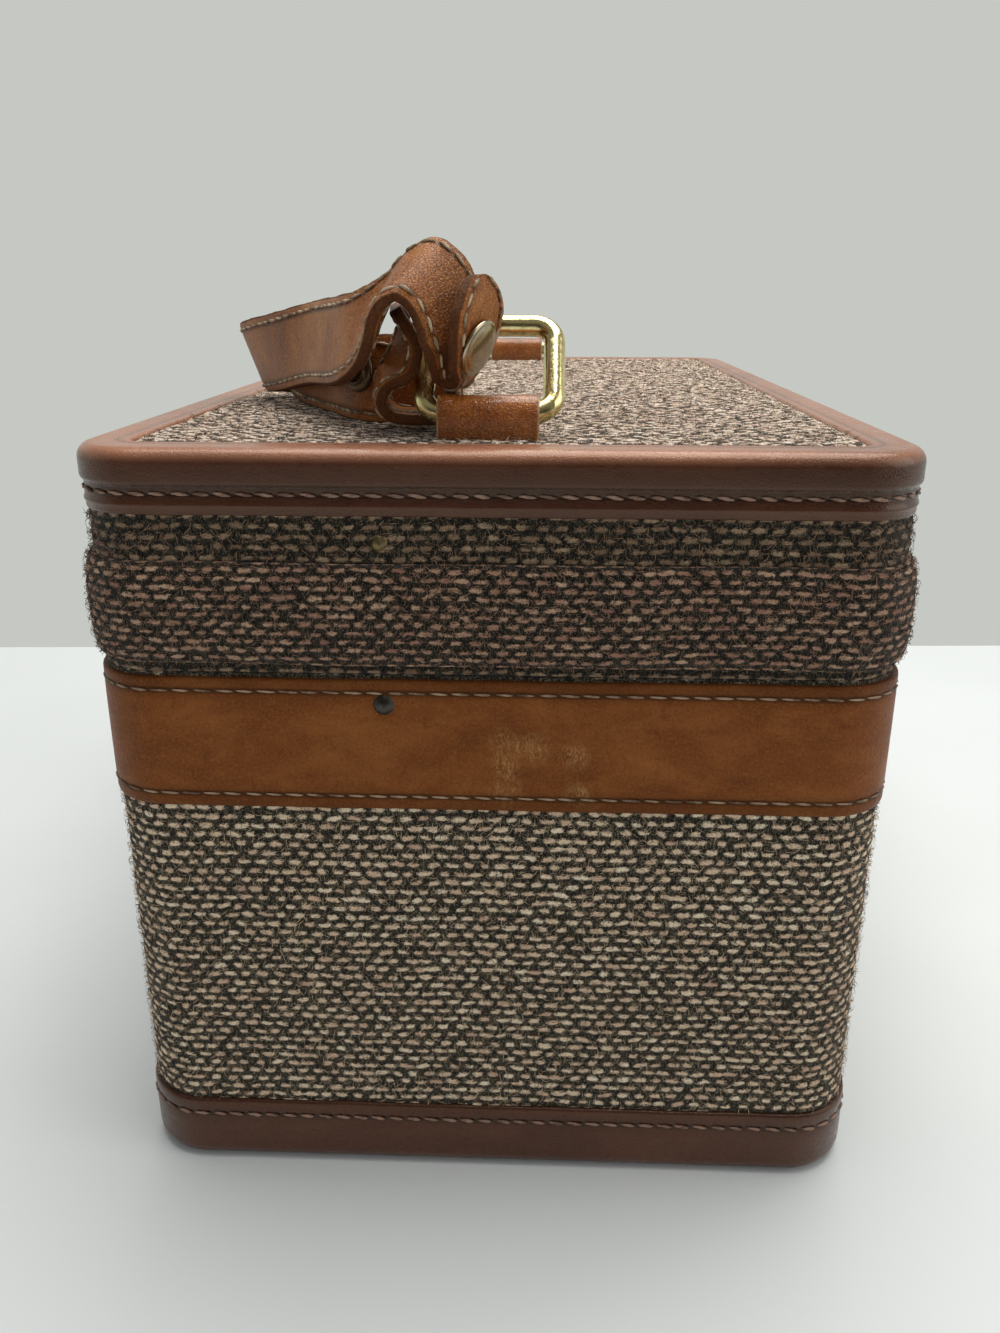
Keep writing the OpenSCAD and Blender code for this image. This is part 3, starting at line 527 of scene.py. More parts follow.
@dataclass(frozen=True)
class Plywood(Finish):
    """Thin birch plywood under the coverings."""

    light: Colour = srgb(190, 158, 112)
    dark: Colour = srgb(146, 108, 66)

    def paint(self, g: Graph) -> None:
        """Builds the nodes of the wood.

        Args:
            g: the material's graph.
        """
        grain = g.noise(3, 6, 0.6, 1.0, g.stretched((0.08, 1.0, 1.0)))
        g.surface(Base_Color=g.mix(g.span(grain, 0.35, 0.65), self.dark, self.light), Roughness=0.6,
                  Normal=g.bump(grain, 0.1))


@dataclass(frozen=True)
class Glass(Finish):
    """Silvered mirror glass with foxing towards its rim."""

    silver: Colour = (0.86, 0.88, 0.88)
    foxed: Colour = (0.3, 0.25, 0.18)

    def paint(self, g: Graph) -> None:
        """Builds the nodes of the mirror.

        Args:
            g: the material's graph.
        """
        spots = g.span(g.noise(7, 5, 0.7), 0.66, 0.8, 0.0, 0.5)
        g.surface(Base_Color=g.mix(spots, self.silver, self.foxed), Metallic=1.0,
                  Roughness=g.add(g.times(spots, 0.4), 0.04))


class Use(Enum):
    """What a finish is used for."""

    BODY_CLOTH = "body cloth"
    TOP_CLOTH = "cloth of the lid's top"
    SHADED_STRIP_CLOTH = "cloth strip of the lid's walls"
    SHADED_ROLL_CLOTH = "cloth of the padded roll"
    HAIRS = "loose hairs of the cloth"
    SHADED_ROLL_HAIRS = "loose hairs of the roll and strip"
    TRIM = "edge trims"
    BELT = "tan belt"
    CHAPE = "ring loops"
    HANDLE = "handle strap"
    RING = "rings"
    LATCH = "latches and hinges"
    CAP = "snap cap"
    SOCKET = "snap socket"
    FRAME = "rim frames and stays"
    BELT_RIVET = "dark rivets"
    LID_RIVET = "dull brass rivets"
    TRIM_THREAD = "thread of the trims"
    BELT_THREAD = "thread of the belt"
    STRAP_THREAD = "thread of the strap"
    LINING = "linings and tray"
    BOARD = "boards"
    MIRROR = "mirror"


SCUFFS = (((-186.0, -3.5, 144.0), 6.5), ((-186.0, -3.0, 137.0), 6.0), ((-186.0, -3.5, 130.0), 6.5),
          ((-186.0, -11.0, 143.0), 6.5), ((-186.0, -22.0, 141.0), 6.0), ((-186.0, -23.0, 129.5), 5.5),
          ((-180.0, 90.0, 131.0), 6.0))

FINISHES = {
    Use.BODY_CLOTH: Tweed("body_tweed_cloth", slub=srgb(224, 197, 165), slub_pink=srgb(202, 166, 142),
                          slub_pale=srgb(242, 226, 198), yarn=srgb(22, 21, 17), hair=srgb(148, 131, 105)),
    Use.TOP_CLOTH: Tweed("top_tweed_cloth", slub=srgb(224, 200, 178), slub_pink=srgb(206, 174, 156),
                         slub_pale=srgb(242, 228, 210), yarn=srgb(52, 45, 39), hair=srgb(150, 130, 112)),
    # The roll is a darker copy of the body's tweed: its darkness is painted shade, its pinker slubs its own.
    Use.SHADED_ROLL_CLOTH: Tweed("roll_tweed_cloth", slub=srgb(162, 126, 103), slub_pink=srgb(146, 104, 88),
                          slub_pale=srgb(196, 164, 136), yarn=srgb(20, 19, 16)),
    # The lid's wall strip is a darker copy of the body's tweed: its darkness is painted shade between the
    # trim and the roll.
    Use.SHADED_STRIP_CLOTH: Tweed("strip_tweed_cloth", slub=srgb(130, 108, 85), slub_pink=srgb(120, 92, 73),
                           slub_pale=srgb(166, 142, 114), yarn=srgb(18, 18, 14)),
    Use.HAIRS: Wool("wool_hairs", pale=srgb(196, 174, 144)),
    # The hairs of the roll and strip are darker copies of the body's hairs, as painted shade.
    Use.SHADED_ROLL_HAIRS: Wool("roll_wool_hairs", dark=srgb(34, 30, 26), pale=srgb(146, 116, 96)),
    # The trim's paler top colour is a painted highlight for the top light.
    Use.TRIM: Leather("trim_leathercloth", srgb(68, 34, 20), srgb(53, 25, 15), srgb(90, 51, 33), mottle=34,
                      flow=(0.4, 0.4, 1.0), grain=0.9, grain_depth=0.06, wear=0.18, gloss=0.28, coat=0.2,
                      haze=0.5, shaded=True, rubbed=srgb(148, 99, 75)),
    Use.BELT: Leather("belt_leather", srgb(115, 63, 26), srgb(90, 47, 17), srgb(142, 88, 43), mottle=12,
                      flow=(0.5, 0.5, 1.1), grain=1.2, grain_depth=0.12, speckle=0.55, wear=0.3, gloss=0.42,
                      haze=0.16, shaded=True, scuffs=SCUFFS),
    Use.CHAPE: Leather("chape_leather", srgb(142, 74, 21), srgb(98, 49, 13), srgb(184, 114, 48), mottle=16,
                       grain=0.9, grain_depth=0.24, speckle=0.7, wear=0.2, gloss=0.22, coat=0.6, haze=0.5,
                       shaded=True, cut=srgb(176, 136, 92)),
    Use.HANDLE: Leather("handle_leather", srgb(137, 77, 32), srgb(88, 48, 20), srgb(186, 127, 68), mottle=24,
                        grain=1.0, grain_depth=0.17, speckle=0.65, wear=0.24, gloss=0.36, haze=0.35,
                        shaded=True, cut=srgb(78, 45, 26)),
    Use.RING: Metal("ring_brass", (0.80, 0.70, 0.35), (0.20, 0.15, 0.05), spots=0.3, shine=0.15, dents=0.15),
    Use.LATCH: Metal("latch_brass", (0.74, 0.56, 0.23), (0.34, 0.22, 0.08), spots=0.24, shine=0.2,
                     dents=0.05),
    Use.CAP: Metal("cap_brass", (0.46, 0.40, 0.28), (0.26, 0.20, 0.12), spots=0.05, shine=0.2, dents=0.01),
    Use.SOCKET: Metal("dark_socket", (0.20, 0.15, 0.10), (0.06, 0.045, 0.03), spots=0.5, shine=0.3),
    Use.FRAME: Metal("plated_steel", (0.68, 0.67, 0.63), (0.26, 0.23, 0.18), spots=0.3, shine=0.24),
    Use.BELT_RIVET: Metal("dark_rivet", (0.065, 0.06, 0.05), (0.03, 0.027, 0.022), spots=0.6, shine=0.36),
    Use.LID_RIVET: Metal("dull_brass", (0.20, 0.155, 0.07), (0.06, 0.045, 0.02), spots=0.6, shine=0.42),
    Use.TRIM_THREAD: Thread("trim_thread", srgb(142, 112, 94), srgb(92, 66, 52)),
    Use.BELT_THREAD: Thread("belt_thread", srgb(156, 132, 104), srgb(84, 62, 44)),
    Use.STRAP_THREAD: Thread("strap_thread", srgb(178, 156, 126), srgb(92, 70, 50)),
    Use.LINING: Lining("lining_cloth"),
    Use.BOARD: Plywood("birch_ply"),
    Use.MIRROR: Glass("mirror_silver"),
}


# Meshes


def unit(vectors: Array, guard: float = 0.0) -> Array:
    """Scales vectors (n, k) to length 1; a small guard keeps a vector of no length finite."""
    return vectors / (np.linalg.norm(vectors, axis=1)[:, None] + guard)


def running(points: Array) -> Array:
    """Running length at each point of a line (n, k)."""
    return np.concatenate([[0], np.cumsum(np.linalg.norm(np.diff(points, axis=0), axis=1))])


def between(places: Array, known: Array, rows: Array) -> Array:
    """Interpolates rows (n, k), which belong to known places, at other places."""
    return np.stack([np.interp(places, known, column) for column in rows.T], -1)


def split(points: Iterable[Sequence[float]]) -> tuple[Array, ...]:
    """Splits points into one array for each coordinate."""
    return tuple(np.array(column) for column in zip(*points))


def bell(values: Array, middle: float, wide: float) -> Array:
    """A bell curve: 1 in the middle, falling off over a width to either side."""
    return np.exp(-(((values - middle) / wide) ** 2))


def rise(values: Array, start: float, over: float) -> Array:
    """Climbs evenly from 0 at the start to 1 after a distance, which may be negative."""
    return np.clip((values - start) / over, 0, 1)


def in_scene(name: str, data: bpy.types.ID) -> bpy.types.Object:
    """Puts new data into the scene as an object.

    Args:
        name: the object's name.
        data: its mesh, lamp or camera.

    Returns:
        The object.
    """
    made = bpy.data.objects.new(name, data)
    bpy.context.scene.collection.objects.link(made)
    return made


@dataclass
class Shell:
    """A mesh in millimetres as it grows: points, faces and values that points carry."""

    points: list[Array] = field(default_factory=list)
    faces: list[tuple[int, ...]] = field(default_factory=list)
    values: dict[str, list[Array]] = field(default_factory=dict)
    count: int = 0

    def add(self, points: Array, faces: Iterable[tuple[int, ...]], **values: Array) -> None:
        """Adds points, faces that number them from 0, and a value per point for each name.

        Args:
            points: the points in mm.
            faces: their numbers for each face.
            values: the values that the points carry.
        """
        self.points.append(np.asarray(points, float).reshape(-1, 3))
        self.faces.extend(tuple(i + self.count for i in f) for f in faces)
        for name, column in values.items():
            self.values.setdefault(name, []).append(np.asarray(column, float).ravel())
        self.count += len(self.points[-1])

    def grid(self, points: Array, closed_u: bool = False, closed_v: bool = False,
             caps: bool = False, **values: Array) -> "Shell":
        """Adds a grid of points.

        Args:
            points: an array of shape (nu, nv, 3).
            closed_u: whether the last row joins the first.
            closed_v: whether the last column joins the first.
            caps: whether a closed tube gets a face at each end.
            values: arrays that spread over (nu, nv).

        Returns:
            The shell itself.
        """
        nu, nv = points.shape[:2]
        i = np.arange(nu if closed_u else nu - 1)[:, None]
        j = np.arange(nv if closed_v else nv - 1)[None, :]
        next_i, next_j = (i + 1) % nu, (j + 1) % nv
        quads = np.stack([i * nv + j, next_i * nv + j, next_i * nv + next_j, i * nv + next_j], -1)
        faces = [tuple(q) for q in quads.reshape(-1, 4).tolist()]
        if caps:
            faces.append(tuple(range(nv)))
            faces.append(tuple(range(nu * nv - 1, (nu - 1) * nv - 1, -1)))
        self.add(points, faces, **{name: np.broadcast_to(value, (nu, nv)) for name, value in values.items()})
        return self


@dataclass
class SubAssembly:
    """What the sub-assemblies share: how a piece is made, dressed and put on its body."""

    materials: dict[Use, bpy.types.Material]

    def piece(self, name: str, shell: Shell, body: str, slot: str, use: Use,
              replaces: Sequence[str] = ()) -> bpy.types.Object:
        """Turns a shell into a smooth object that rides on a body.

        Args:
            name: the piece's name.
            shell: its mesh in millimetres.
            body: the body that it rides on.
            slot: the record's material slot; not used.
            use: which finish it has.
            replaces: the nodes that it stands for.

        Returns:
            The new object.
        """
        mesh = bpy.data.meshes.new(name)
        mesh.from_pydata((np.concatenate(shell.points) * MM).tolist(), [], shell.faces)
        for key, columns in shell.values.items():
            data = mesh.attributes.new(key, "FLOAT", "POINT")
            data.data.foreach_set("value", np.concatenate(columns).astype(np.float32))
        mesh.polygons.foreach_set("use_smooth", np.ones(len(mesh.polygons), bool))
        mesh.materials.append(self.materials[use])
        mesh.update()
        made = in_scene(name, mesh)
        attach(made, body)
        if replaces:
            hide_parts(*replaces)
        LOG.info("%s on %s: %d faces", name, body, len(mesh.polygons))
        return made

    def dress(self, use: Use, *nodes: str) -> None:
        """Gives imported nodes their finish.

        Args:
            use: which finish they get.
            nodes: their names.
        """
        for node in nodes:
            packed = FRAME["nodes"][node]
            packed.data.materials.clear()
            packed.data.materials.append(self.materials[use])
            LOG.info("%s dressed for %s", node, use.value)


@dataclass(frozen=True)
class Outline:
    """The case's plan over the trims, walked by its running length from the middle of the near end."""

    length: float = 372.0
    width: float = 222.0
    radius: float = 20.0
    past_corner: float = 24.0

    @property
    def around(self) -> float:
        """Running length once round the case."""
        return 2 * (self.length + self.width) - 8 * self.radius + 2 * math.pi * self.radius

    @property
    def near_half(self) -> float:
        """Running length from the middle of the near end to a little past its corner."""
        return self.width / 2 + self.past_corner

    def walk(self, runs: Array) -> tuple[Array, Array]:
        """Places on the outline.

        Args:
            runs: running lengths; 0 is the middle of the near end and they grow towards the latches.

        Returns:
            The points (n, 2) and the outward normals (n, 2).
        """
        side_w, side_l = self.width - 2 * self.radius, self.length - 2 * self.radius
        bend = math.pi * self.radius / 2
        hx, hy = self.length / 2 - self.radius, self.width / 2 - self.radius
        legs = [(side_w / 2, 180, (-hx, 0)), (bend, 180, (-hx, -hy)), (side_l, 270, (-hx, -hy)),
                (bend, 270, (hx, -hy)), (side_w, 0, (hx, -hy)), (bend, 0, (hx, hy)), (side_l, 90, (hx, hy)),
                (bend, 90, (-hx, hy)), (side_w / 2, 180, (-hx, hy))]
        runs = np.mod(np.asarray(runs, float), self.around)
        spot, out = np.zeros((len(runs), 2)), np.zeros((len(runs), 2))
        start, close = 0.0, 1e-9
        for n, (leg, angle, centre) in enumerate(legs):
            here = (runs >= start - close) & (runs <= start + leg + close)
            along = runs[here] - start
            turn = np.radians(angle + (90 * along / leg if n % 2 else 0 * along))
            normal = np.stack([np.cos(turn), np.sin(turn)], -1)
            tangent = np.stack([-np.sin(turn), np.cos(turn)], -1)
            spot[here] = np.array(centre) + normal * self.radius + (0 if n % 2 else along[:, None] * tangent)
            out[here] = normal
            start += leg
        return spot, out

    def sweep(self, runs: Array, out: Array, level: Array) -> Array:
        """Grid of points for a profile that runs round the case.

        Args:
            runs: running lengths (nu).
            out: distance outside the outline, of shape (nu, nv) or (nv).
            level: height, of shape (nu, nv) or (nv).

        Returns:
            An array of shape (nu, nv, 3).
        """
        spot, normal = self.walk(runs)
        out, level, _ = np.broadcast_arrays(out, level, np.zeros((len(runs), 1)))
        plan = spot[:, None] + normal[:, None] * out[..., None]
        return np.concatenate([plan, level[..., None]], -1)

    def steps(self, near: float, far: float) -> Array:
        """Running lengths once round, closer together round the near end.

        Args:
            near: the step round the near end in mm.
            far: the step elsewhere in mm.

        Returns:
            The running lengths.
        """
        half = self.near_half
        ends = np.arange(-half, half, near)
        number = int((self.around - 2 * half) / far)
        return np.concatenate([ends, np.linspace(half, self.around - half, number, endpoint=False)])

    def even(self, number: int) -> Array:
        """Running lengths once round, evenly spaced."""
        return np.linspace(0, self.around, number, endpoint=False)

    def waves(self, runs: Array, seed: int, *lengths: float) -> Array:
        """Slow waviness round the case, about -1 to 1.

        Args:
            runs: running lengths (n).
            seed: the seed of the waves' places.
            lengths: the waves' lengths, in mm.

        Returns:
            A column (n, 1).
        """
        draw = np.random.default_rng(seed)
        total = np.zeros(len(runs))
        for length in lengths:
            count = max(1, round(self.around / length))
            total += np.sin(2 * np.pi * count * np.asarray(runs) / self.around + draw.uniform(0, 6.28))
        return total[:, None] / len(lengths)


OUTLINE = Outline()


@dataclass
class Slubs:
    """Brick-laid slubs of a tweed: where they lie, how proud they stand and how pale they are.

    The rows sway by waves, each given as its height in mm and its rates along u and v.
    """

    seed: int
    pitch: float = 4.9
    row: float = 2.4
    length: float = 4.3
    height: float = 1.7
    proud: float = 0.42
    stray: float = 0.34
    lean: float = 0.09
    blunt: float = 3.6
    sway_u: tuple[Point, ...] = ((0.13, 0.83, 2.1), (0.10, 1.9, -1.3))
    sway_v: tuple[Point, ...] = ((0.07, 1.3, 0.9), (0.06, 2.7, 3.1))

    def relief(self, u: Array, v: Array, around: float) -> tuple[Array, Array, Array]:
        """Relief of the cloth at places on it.

        Args:
            u: running length along the slubs, in mm.
            v: distance across the rows, in mm.
            around: the length after which the pattern closes.

        Returns:
            The height in mm, the slub's mask from 0 to 1 and its tone from 0 to 1.
        """
        columns = max(4, round(around / self.pitch))
        pitch = around / columns
        first = int(np.floor(v.min() / self.row)) - 1
        rows = int(np.ceil(v.max() / self.row)) - first + 3
        draw = np.random.default_rng(self.seed)
        shift_u = draw.normal(0, self.stray, (rows, columns))
        shift_v = draw.normal(0, 0.44 * self.stray, (rows, columns))
        long = self.length * draw.uniform(0.70, 1.20, (rows, columns)) / 2
        thick = self.height * draw.uniform(0.75, 1.12, (rows, columns)) / 2
        proud = draw.uniform(0.45, 1.15, (rows, columns))
        tones = np.clip(draw.normal(0.5, 0.17, (rows, columns)), 0, 1)
        lean = draw.normal(0, self.lean, (rows, columns))
        mask = np.zeros(u.shape)
        height = np.zeros(u.shape)
        tone = np.full(u.shape, 0.5)
        phase = 2 * np.pi * u / pitch
        u = u + sum(high * np.sin(along * phase + across * v) for high, along, across in self.sway_u)
        v = v + sum(high * np.sin(along * phase + across * v) for high, along, across in self.sway_v)
        base_row = np.floor(v / self.row).astype(int)
        for dr in (-1, 0, 1):
            r = base_row + dr
            odd = (r % 2) * pitch / 2
            base_column = np.floor((u - odd) / pitch).astype(int)
            for dc in (-1, 0, 1):
                c = base_column + dc
                i, j = r - first, np.mod(c, columns)
                du = u - ((c + 0.5) * pitch + odd + shift_u[i, j])
                dv = v - ((r + 0.5) * self.row + shift_v[i, j]) - lean[i, j] * du
                inside = 1 - np.abs(du / long[i, j]) ** self.blunt - np.abs(dv / thick[i, j]) ** 2
                inside = np.clip(inside, 0, 1)
                better = inside > mask
                mask = np.where(better, inside, mask)
                height = np.where(better, np.sqrt(inside) * proud[i, j], height)
                tone = np.where(better, tones[i, j], tone)
        return height * self.proud, mask, tone


@dataclass
class Fuzz:
    """Loose wool hairs, each a thin bent spike on three sides."""

    seed: int
    long: float = 2.2
    thick: float = 0.2
    off: float = 1.15

    def grow(self, shell: Shell, roots: Array, normals: Array) -> None:
        """Adds one hair at each root.

        Args:
            shell: the shell that takes them.
            roots: where they start (n, 3).
            normals: the cloth's normals there (n, 3).
        """
        draw = np.random.default_rng(self.seed)
        n = len(roots)
        lie = unit(np.cross(normals, draw.normal(0, 1, (n, 3))))
        bend = np.cross(normals, lie)
        reach = self.long * draw.uniform(0.5, 1.3, (n, 1))
        off = self.off * draw.uniform(0.25, 1.2, (n, 1))
        sway = draw.normal(0, 0.25, (n, 1)) * reach
        knee = roots + lie * reach * 0.45 + normals * off * 0.8 + bend * sway * 0.3
        tip = roots + lie * reach + normals * off + bend * sway
        rings = []
        for spot, radius in ((roots - 0.2 * normals, self.thick / 2), (knee, self.thick / 2.4)):
            rings += [spot + radius * (bend * math.cos(a) + normals * math.sin(a)) for a in (0.5, 2.6, 4.7)]
        points = np.stack([*rings, tip], 1)
        corners = points.shape[1]
        start = corners * np.arange(n)[:, None]
        sides, ends = ((0, 1, 4, 3), (1, 2, 5, 4), (2, 0, 3, 5)), ((3, 4, 6), (4, 5, 6), (5, 3, 6), (0, 2, 1))
        faces = []
        for kind in (sides, ends):
            faces += np.concatenate([start + np.array(face) for face in kind]).tolist()
        shell.add(points, faces, tone=np.repeat(draw.uniform(0, 1, n), corners))


@dataclass
class Stitcher:
    """Lays stitches of twisted thread, each a small spindle with two strands, along a line."""

    seed: int
    long: float = 5.0
    thick: float = 0.9
    gap: float = 0.5
    sunk: float = 0.45
    twist: float = 0.2
    slant: float = 0.34
    uneven: float = 0.12
    blunt: float = 3.2
    strand_rate: float = 2.1
    around: int = 10
    along: int = 9

    def sew(self, shell: Shell, points: Array, normals: Array) -> None:
        """Adds stitches along a line.

        Args:
            shell: the shell that takes them.
            points: the line's points (n, 3).
            normals: the surface's normals there (n, 3).
        """
        draw = np.random.default_rng(self.seed)
        run = running(points)
        number = max(1, int(round(run[-1] / (self.long + self.gap))))
        pitch = run[-1] / number
        turn = np.linspace(0, 2 * np.pi, self.around, endpoint=False)
        t = np.linspace(-1, 1, self.along)
        bulge = np.sqrt(np.clip(1 - np.abs(t) ** self.blunt, 0, 1))
        # Painted shade at each stitch's ends, where the thread sinks into its holes.
        hole_shade = np.abs(t)[:, None] ** 5
        for n in range(number):
            middle = (n + 0.5) * pitch + draw.normal(0, self.uneven)
            half = self.long / 2 * draw.uniform(0.9, 1.08)
            s = np.clip(middle + half * t, 0, run[-1])
            line = between(s, run, points)
            up = unit(between(s, run, normals))
            side = np.cross(unit(np.gradient(line, axis=0), 1e-9), up)
            slant = self.slant * draw.uniform(0.6, 1.4)
            radius = self.thick / 2 * draw.uniform(0.88, 1.08)
            strands = np.cos(turn[None, :] * 2 - t[:, None] * half * self.strand_rate)
            swell = radius * bulge[:, None] * (1 + self.twist * strands)
            lift = radius * (1 - self.sunk) * bulge - 0.35 * radius * np.abs(t) ** 4
            centre = line + up * lift[:, None] + side * (slant * t)[:, None]
            ring = (centre[:, None] + side[:, None] * (swell * np.cos(turn))[..., None]
                    + up[:, None] * (swell * np.sin(turn))[..., None])
            shell.grid(ring, closed_v=True, shade=hole_shade)


def dome_lathe(profile: Sequence[tuple[float, float]], centre: Array, axis: Array) -> Shell:
    """Turns a profile of (radius, height) round an axis.

    Args:
        profile: the points from the outside in.
        centre: where height 0 lies on the axis, in mm.
        axis: the direction of the height.

    Returns:
        The shell.
    """
    turns = 48
    axis = np.asarray(axis, float) / np.linalg.norm(axis)
    side = np.cross(axis, [0.3, 0.2, 0.93])
    side /= np.linalg.norm(side)
    other = np.cross(axis, side)
    angle = np.linspace(0, 2 * np.pi, turns, endpoint=False)
    rim = np.cos(angle)[:, None] * side + np.sin(angle)[:, None] * other
    points = np.array([[np.asarray(centre) + r * way + h * axis for r, h in profile] for way in rim])
    return Shell().grid(points, closed_u=True)


def arc(cx: float, cy: float, radius: float, start: float, stop: float,
        steps: int) -> list[tuple[float, float]]:
    """Points of an arc from one angle to another, in degrees."""
    angles = np.radians(np.linspace(start, stop, steps + 1))
    return [(cx + radius * math.cos(a), cy + radius * math.sin(a)) for a in angles]


# Sub-assemblies


@dataclass
class Cloths(SubAssembly):
    """The tweed coverings: walls of the body and lid, the top panel and the padded roll."""

    inset: float = 1.5
    turned_in: float = 2.7
    rim: float = 163.0
    lid_low: float = 163.3
    step: float = 0.48
    near_step: float = 0.62
    far_step: float = 1.05
    panel_z: float = 220.9
    panel_x: float = 173.4
    panel_y: float = 98.4
    panel_round: float = 12.0
    panel_step: float = 0.55
    panel_fine_end: float = -40.0
    panel_coarse: int = 250
    panel_across: int = 270
    padding: float = 1.0
    padding_slope: float = 2.4
    tucked: float = 1.2
    roll_low: float = 166.0
    roll_high: float = 27.5
    roll_out: float = 3.3
    roll_blunt: float = 3.5
    roll_steps: int = 66
    roundness: float = 0.62
    roll_back_step: float = 1.0
    roll_near_step: float = 0.6
    roll_front_points: int = 190
    latch_x: float = 110.0
    latch_gap: float = 17.3
    root: float = 0.2
    body_hairs: int = 38000
    strip_hairs: int = 5200
    top_hairs: int = 15000
    roll_hairs_per_mm: float = 16.0
    roll_hairs_turn: float = 1.35
    roll_hairs_margin: float = 2.0

    def build(self) -> None:
        """Makes every tweed piece and its loose hairs."""
        # The weave stands proud only between the trims; where they cover it, a few levels are enough.
        out = -self.inset
        body = (13.0, 17.0, *np.arange(21.0, 126.0, self.step), 140.0, 155.0, self.rim - 0.4)
        strip = (*np.arange(self.lid_low + 0.4, 168.0, self.step), 175.0, 185.0,
                 *np.arange(191.0, 207.5, self.step), 214.0, 220.5)
        self.wall("body_tweed", "case_body", "body_cloth", Use.BODY_CLOTH,
                  Slubs(seed=21, row=2.9, height=2.1),
                  [*((out, z) for z in body), (out - 0.4, self.rim), (-self.turned_in, self.rim)],
                  shown=(20.5, 127.0))
        # The strip's cloth is painted darker, as painted shade.
        self.wall("lid_tweed", "lid", "lid_cloth", Use.SHADED_STRIP_CLOTH,
                  Slubs(seed=33, row=2.8, height=1.9, proud=0.36),
                  [(-self.turned_in, self.lid_low), (out - 0.4, self.lid_low), *((out, z) for z in strip)],
                  shown=(self.lid_low - 2.5, 209.0))
        self.panel()
        self.roll()
        self.hairs("body_hairs", "case_body", Use.HAIRS, self.body_hairs, levels=(23.0, 123.5), seed=5)
        # The strip's hairs take the darker hair finish, as painted shade.
        self.hairs("strip_hairs", "lid", Use.SHADED_ROLL_HAIRS, self.strip_hairs, levels=(194.5, 205.0), seed=6)

    def hairs(self, name: str, body: str, use: Use, number: int, levels: tuple[float, float],
              seed: int) -> None:
        """Scatters loose hairs over a band of the walls.

        Args:
            name: the piece's name.
            body: the body that it rides on.
            use: which finish it has.
            number: how many hairs.
            levels: the band's lower and upper level.
            seed: the seed of the scatter.
        """
        draw = np.random.default_rng(seed)
        spot, normal = OUTLINE.walk(draw.uniform(0, OUTLINE.around, number))
        roots = np.column_stack([spot + normal * (-self.inset + self.root), draw.uniform(*levels, number)])
        shell = Shell()
        Fuzz(seed=seed).grow(shell, roots, np.column_stack([normal, np.zeros(number)]))
        self.piece(name, shell, body, "tweed", use)

    def wall(self, name: str, body: str, node: str, use: Use, slubs: Slubs,
             profile: list[tuple[float, float]], shown: tuple[float, float]) -> None:
        """Covers a wall with cloth.

        Args:
            name: the piece's name.
            body: the body that it rides on.
            node: the node that it stands for.
            use: which finish it has.
            slubs: its slub pattern.
            profile: its points as (outside the outline, level).
            shown: the levels between which the slubs stand proud.
        """
        runs = OUTLINE.steps(self.near_step, self.far_step)
        out, level = split(profile)
        u = np.broadcast_to(runs[:, None], (len(runs), len(out)))
        v = np.broadcast_to(level[None, :], u.shape) + 0.35 * OUTLINE.waves(runs, 5, 140, 61)
        height, mask, tone = slubs.relief(u, v, OUTLINE.around)
        fade = rise(level, shown[0], 2) * rise(level, shown[1], -2)
        shell = Shell().grid(OUTLINE.sweep(runs, out + height * fade, level), closed_u=True, slub=mask,
                             tone=tone)
        self.piece(name, shell, body, "tweed", use, [node])

    def padded_level(self, x: Array, y: Array) -> Array:
        """Level of the top panel's cloth, which rises from under the flange over its thin padding.

        Args:
            x: places along the lid, in mm.
            y: places across the lid, in mm.

        Returns:
            The level of the cloth there.
        """
        over_x = np.abs(x) - self.panel_x + self.panel_round
        over_y = np.abs(y) - self.panel_y + self.panel_round
        corner = np.hypot(np.maximum(over_x, 0), np.maximum(over_y, 0))
        inward = self.panel_round - corner - np.minimum(np.maximum(over_x, over_y), 0)
        return self.panel_z + self.padding * rise(inward, self.tucked, self.padding_slope) ** 0.6

    def panel(self) -> None:
        """Lays the top panel inside the lid trim's flange, with its slubs across the lid."""
        half_x, half_y = self.panel_x, self.panel_y
        fine = np.arange(-half_x, self.panel_fine_end, self.panel_step)
        xs = np.concatenate([fine, np.linspace(self.panel_fine_end, half_x, self.panel_coarse)])
        ys = np.linspace(-half_y, half_y, self.panel_across)
        x, y = np.meshgrid(xs, ys, indexing="ij")
        slubs = Slubs(seed=8, row=2.9, height=2.2, proud=0.62, stray=0.7)
        height, mask, tone = slubs.relief(y + half_y, x + half_x, 2 * half_y)
        cloth = np.stack([x, y, self.padded_level(x, y) + height], -1)
        self.piece("top_tweed", Shell().grid(cloth, slub=mask, tone=tone), "lid", "tweed", Use.TOP_CLOTH,
                   ["lid_top_cloth"])
        seed, number = 7, self.top_hairs
        draw = np.random.default_rng(seed)
        along, across = (draw.uniform(1 - half, half - 1, number) for half in (half_x, half_y))
        roots = np.column_stack([along, across, self.padded_level(along, across) + self.root])
        hairs = Shell()
        Fuzz(off=1.0, seed=seed).grow(hairs, roots, np.tile([0.0, 0.0, 1.0], (number, 1)))
        self.piece("top_hairs", hairs, "lid", "tweed", Use.HAIRS)

    @staticmethod
    def front_run(x: float) -> float:
        """Running length at a place along the front.

        Args:
            x: the place in mm.

        Returns:
            The running length in mm.
        """
        samples, close = 20001, 0.01
        runs = np.linspace(0, OUTLINE.around, samples)
        spot = OUTLINE.walk(runs)[0]
        front = spot[:, 1] < -OUTLINE.width / 2 + close
        return float(runs[front][np.argmin(np.abs(spot[front, 0] - x))])

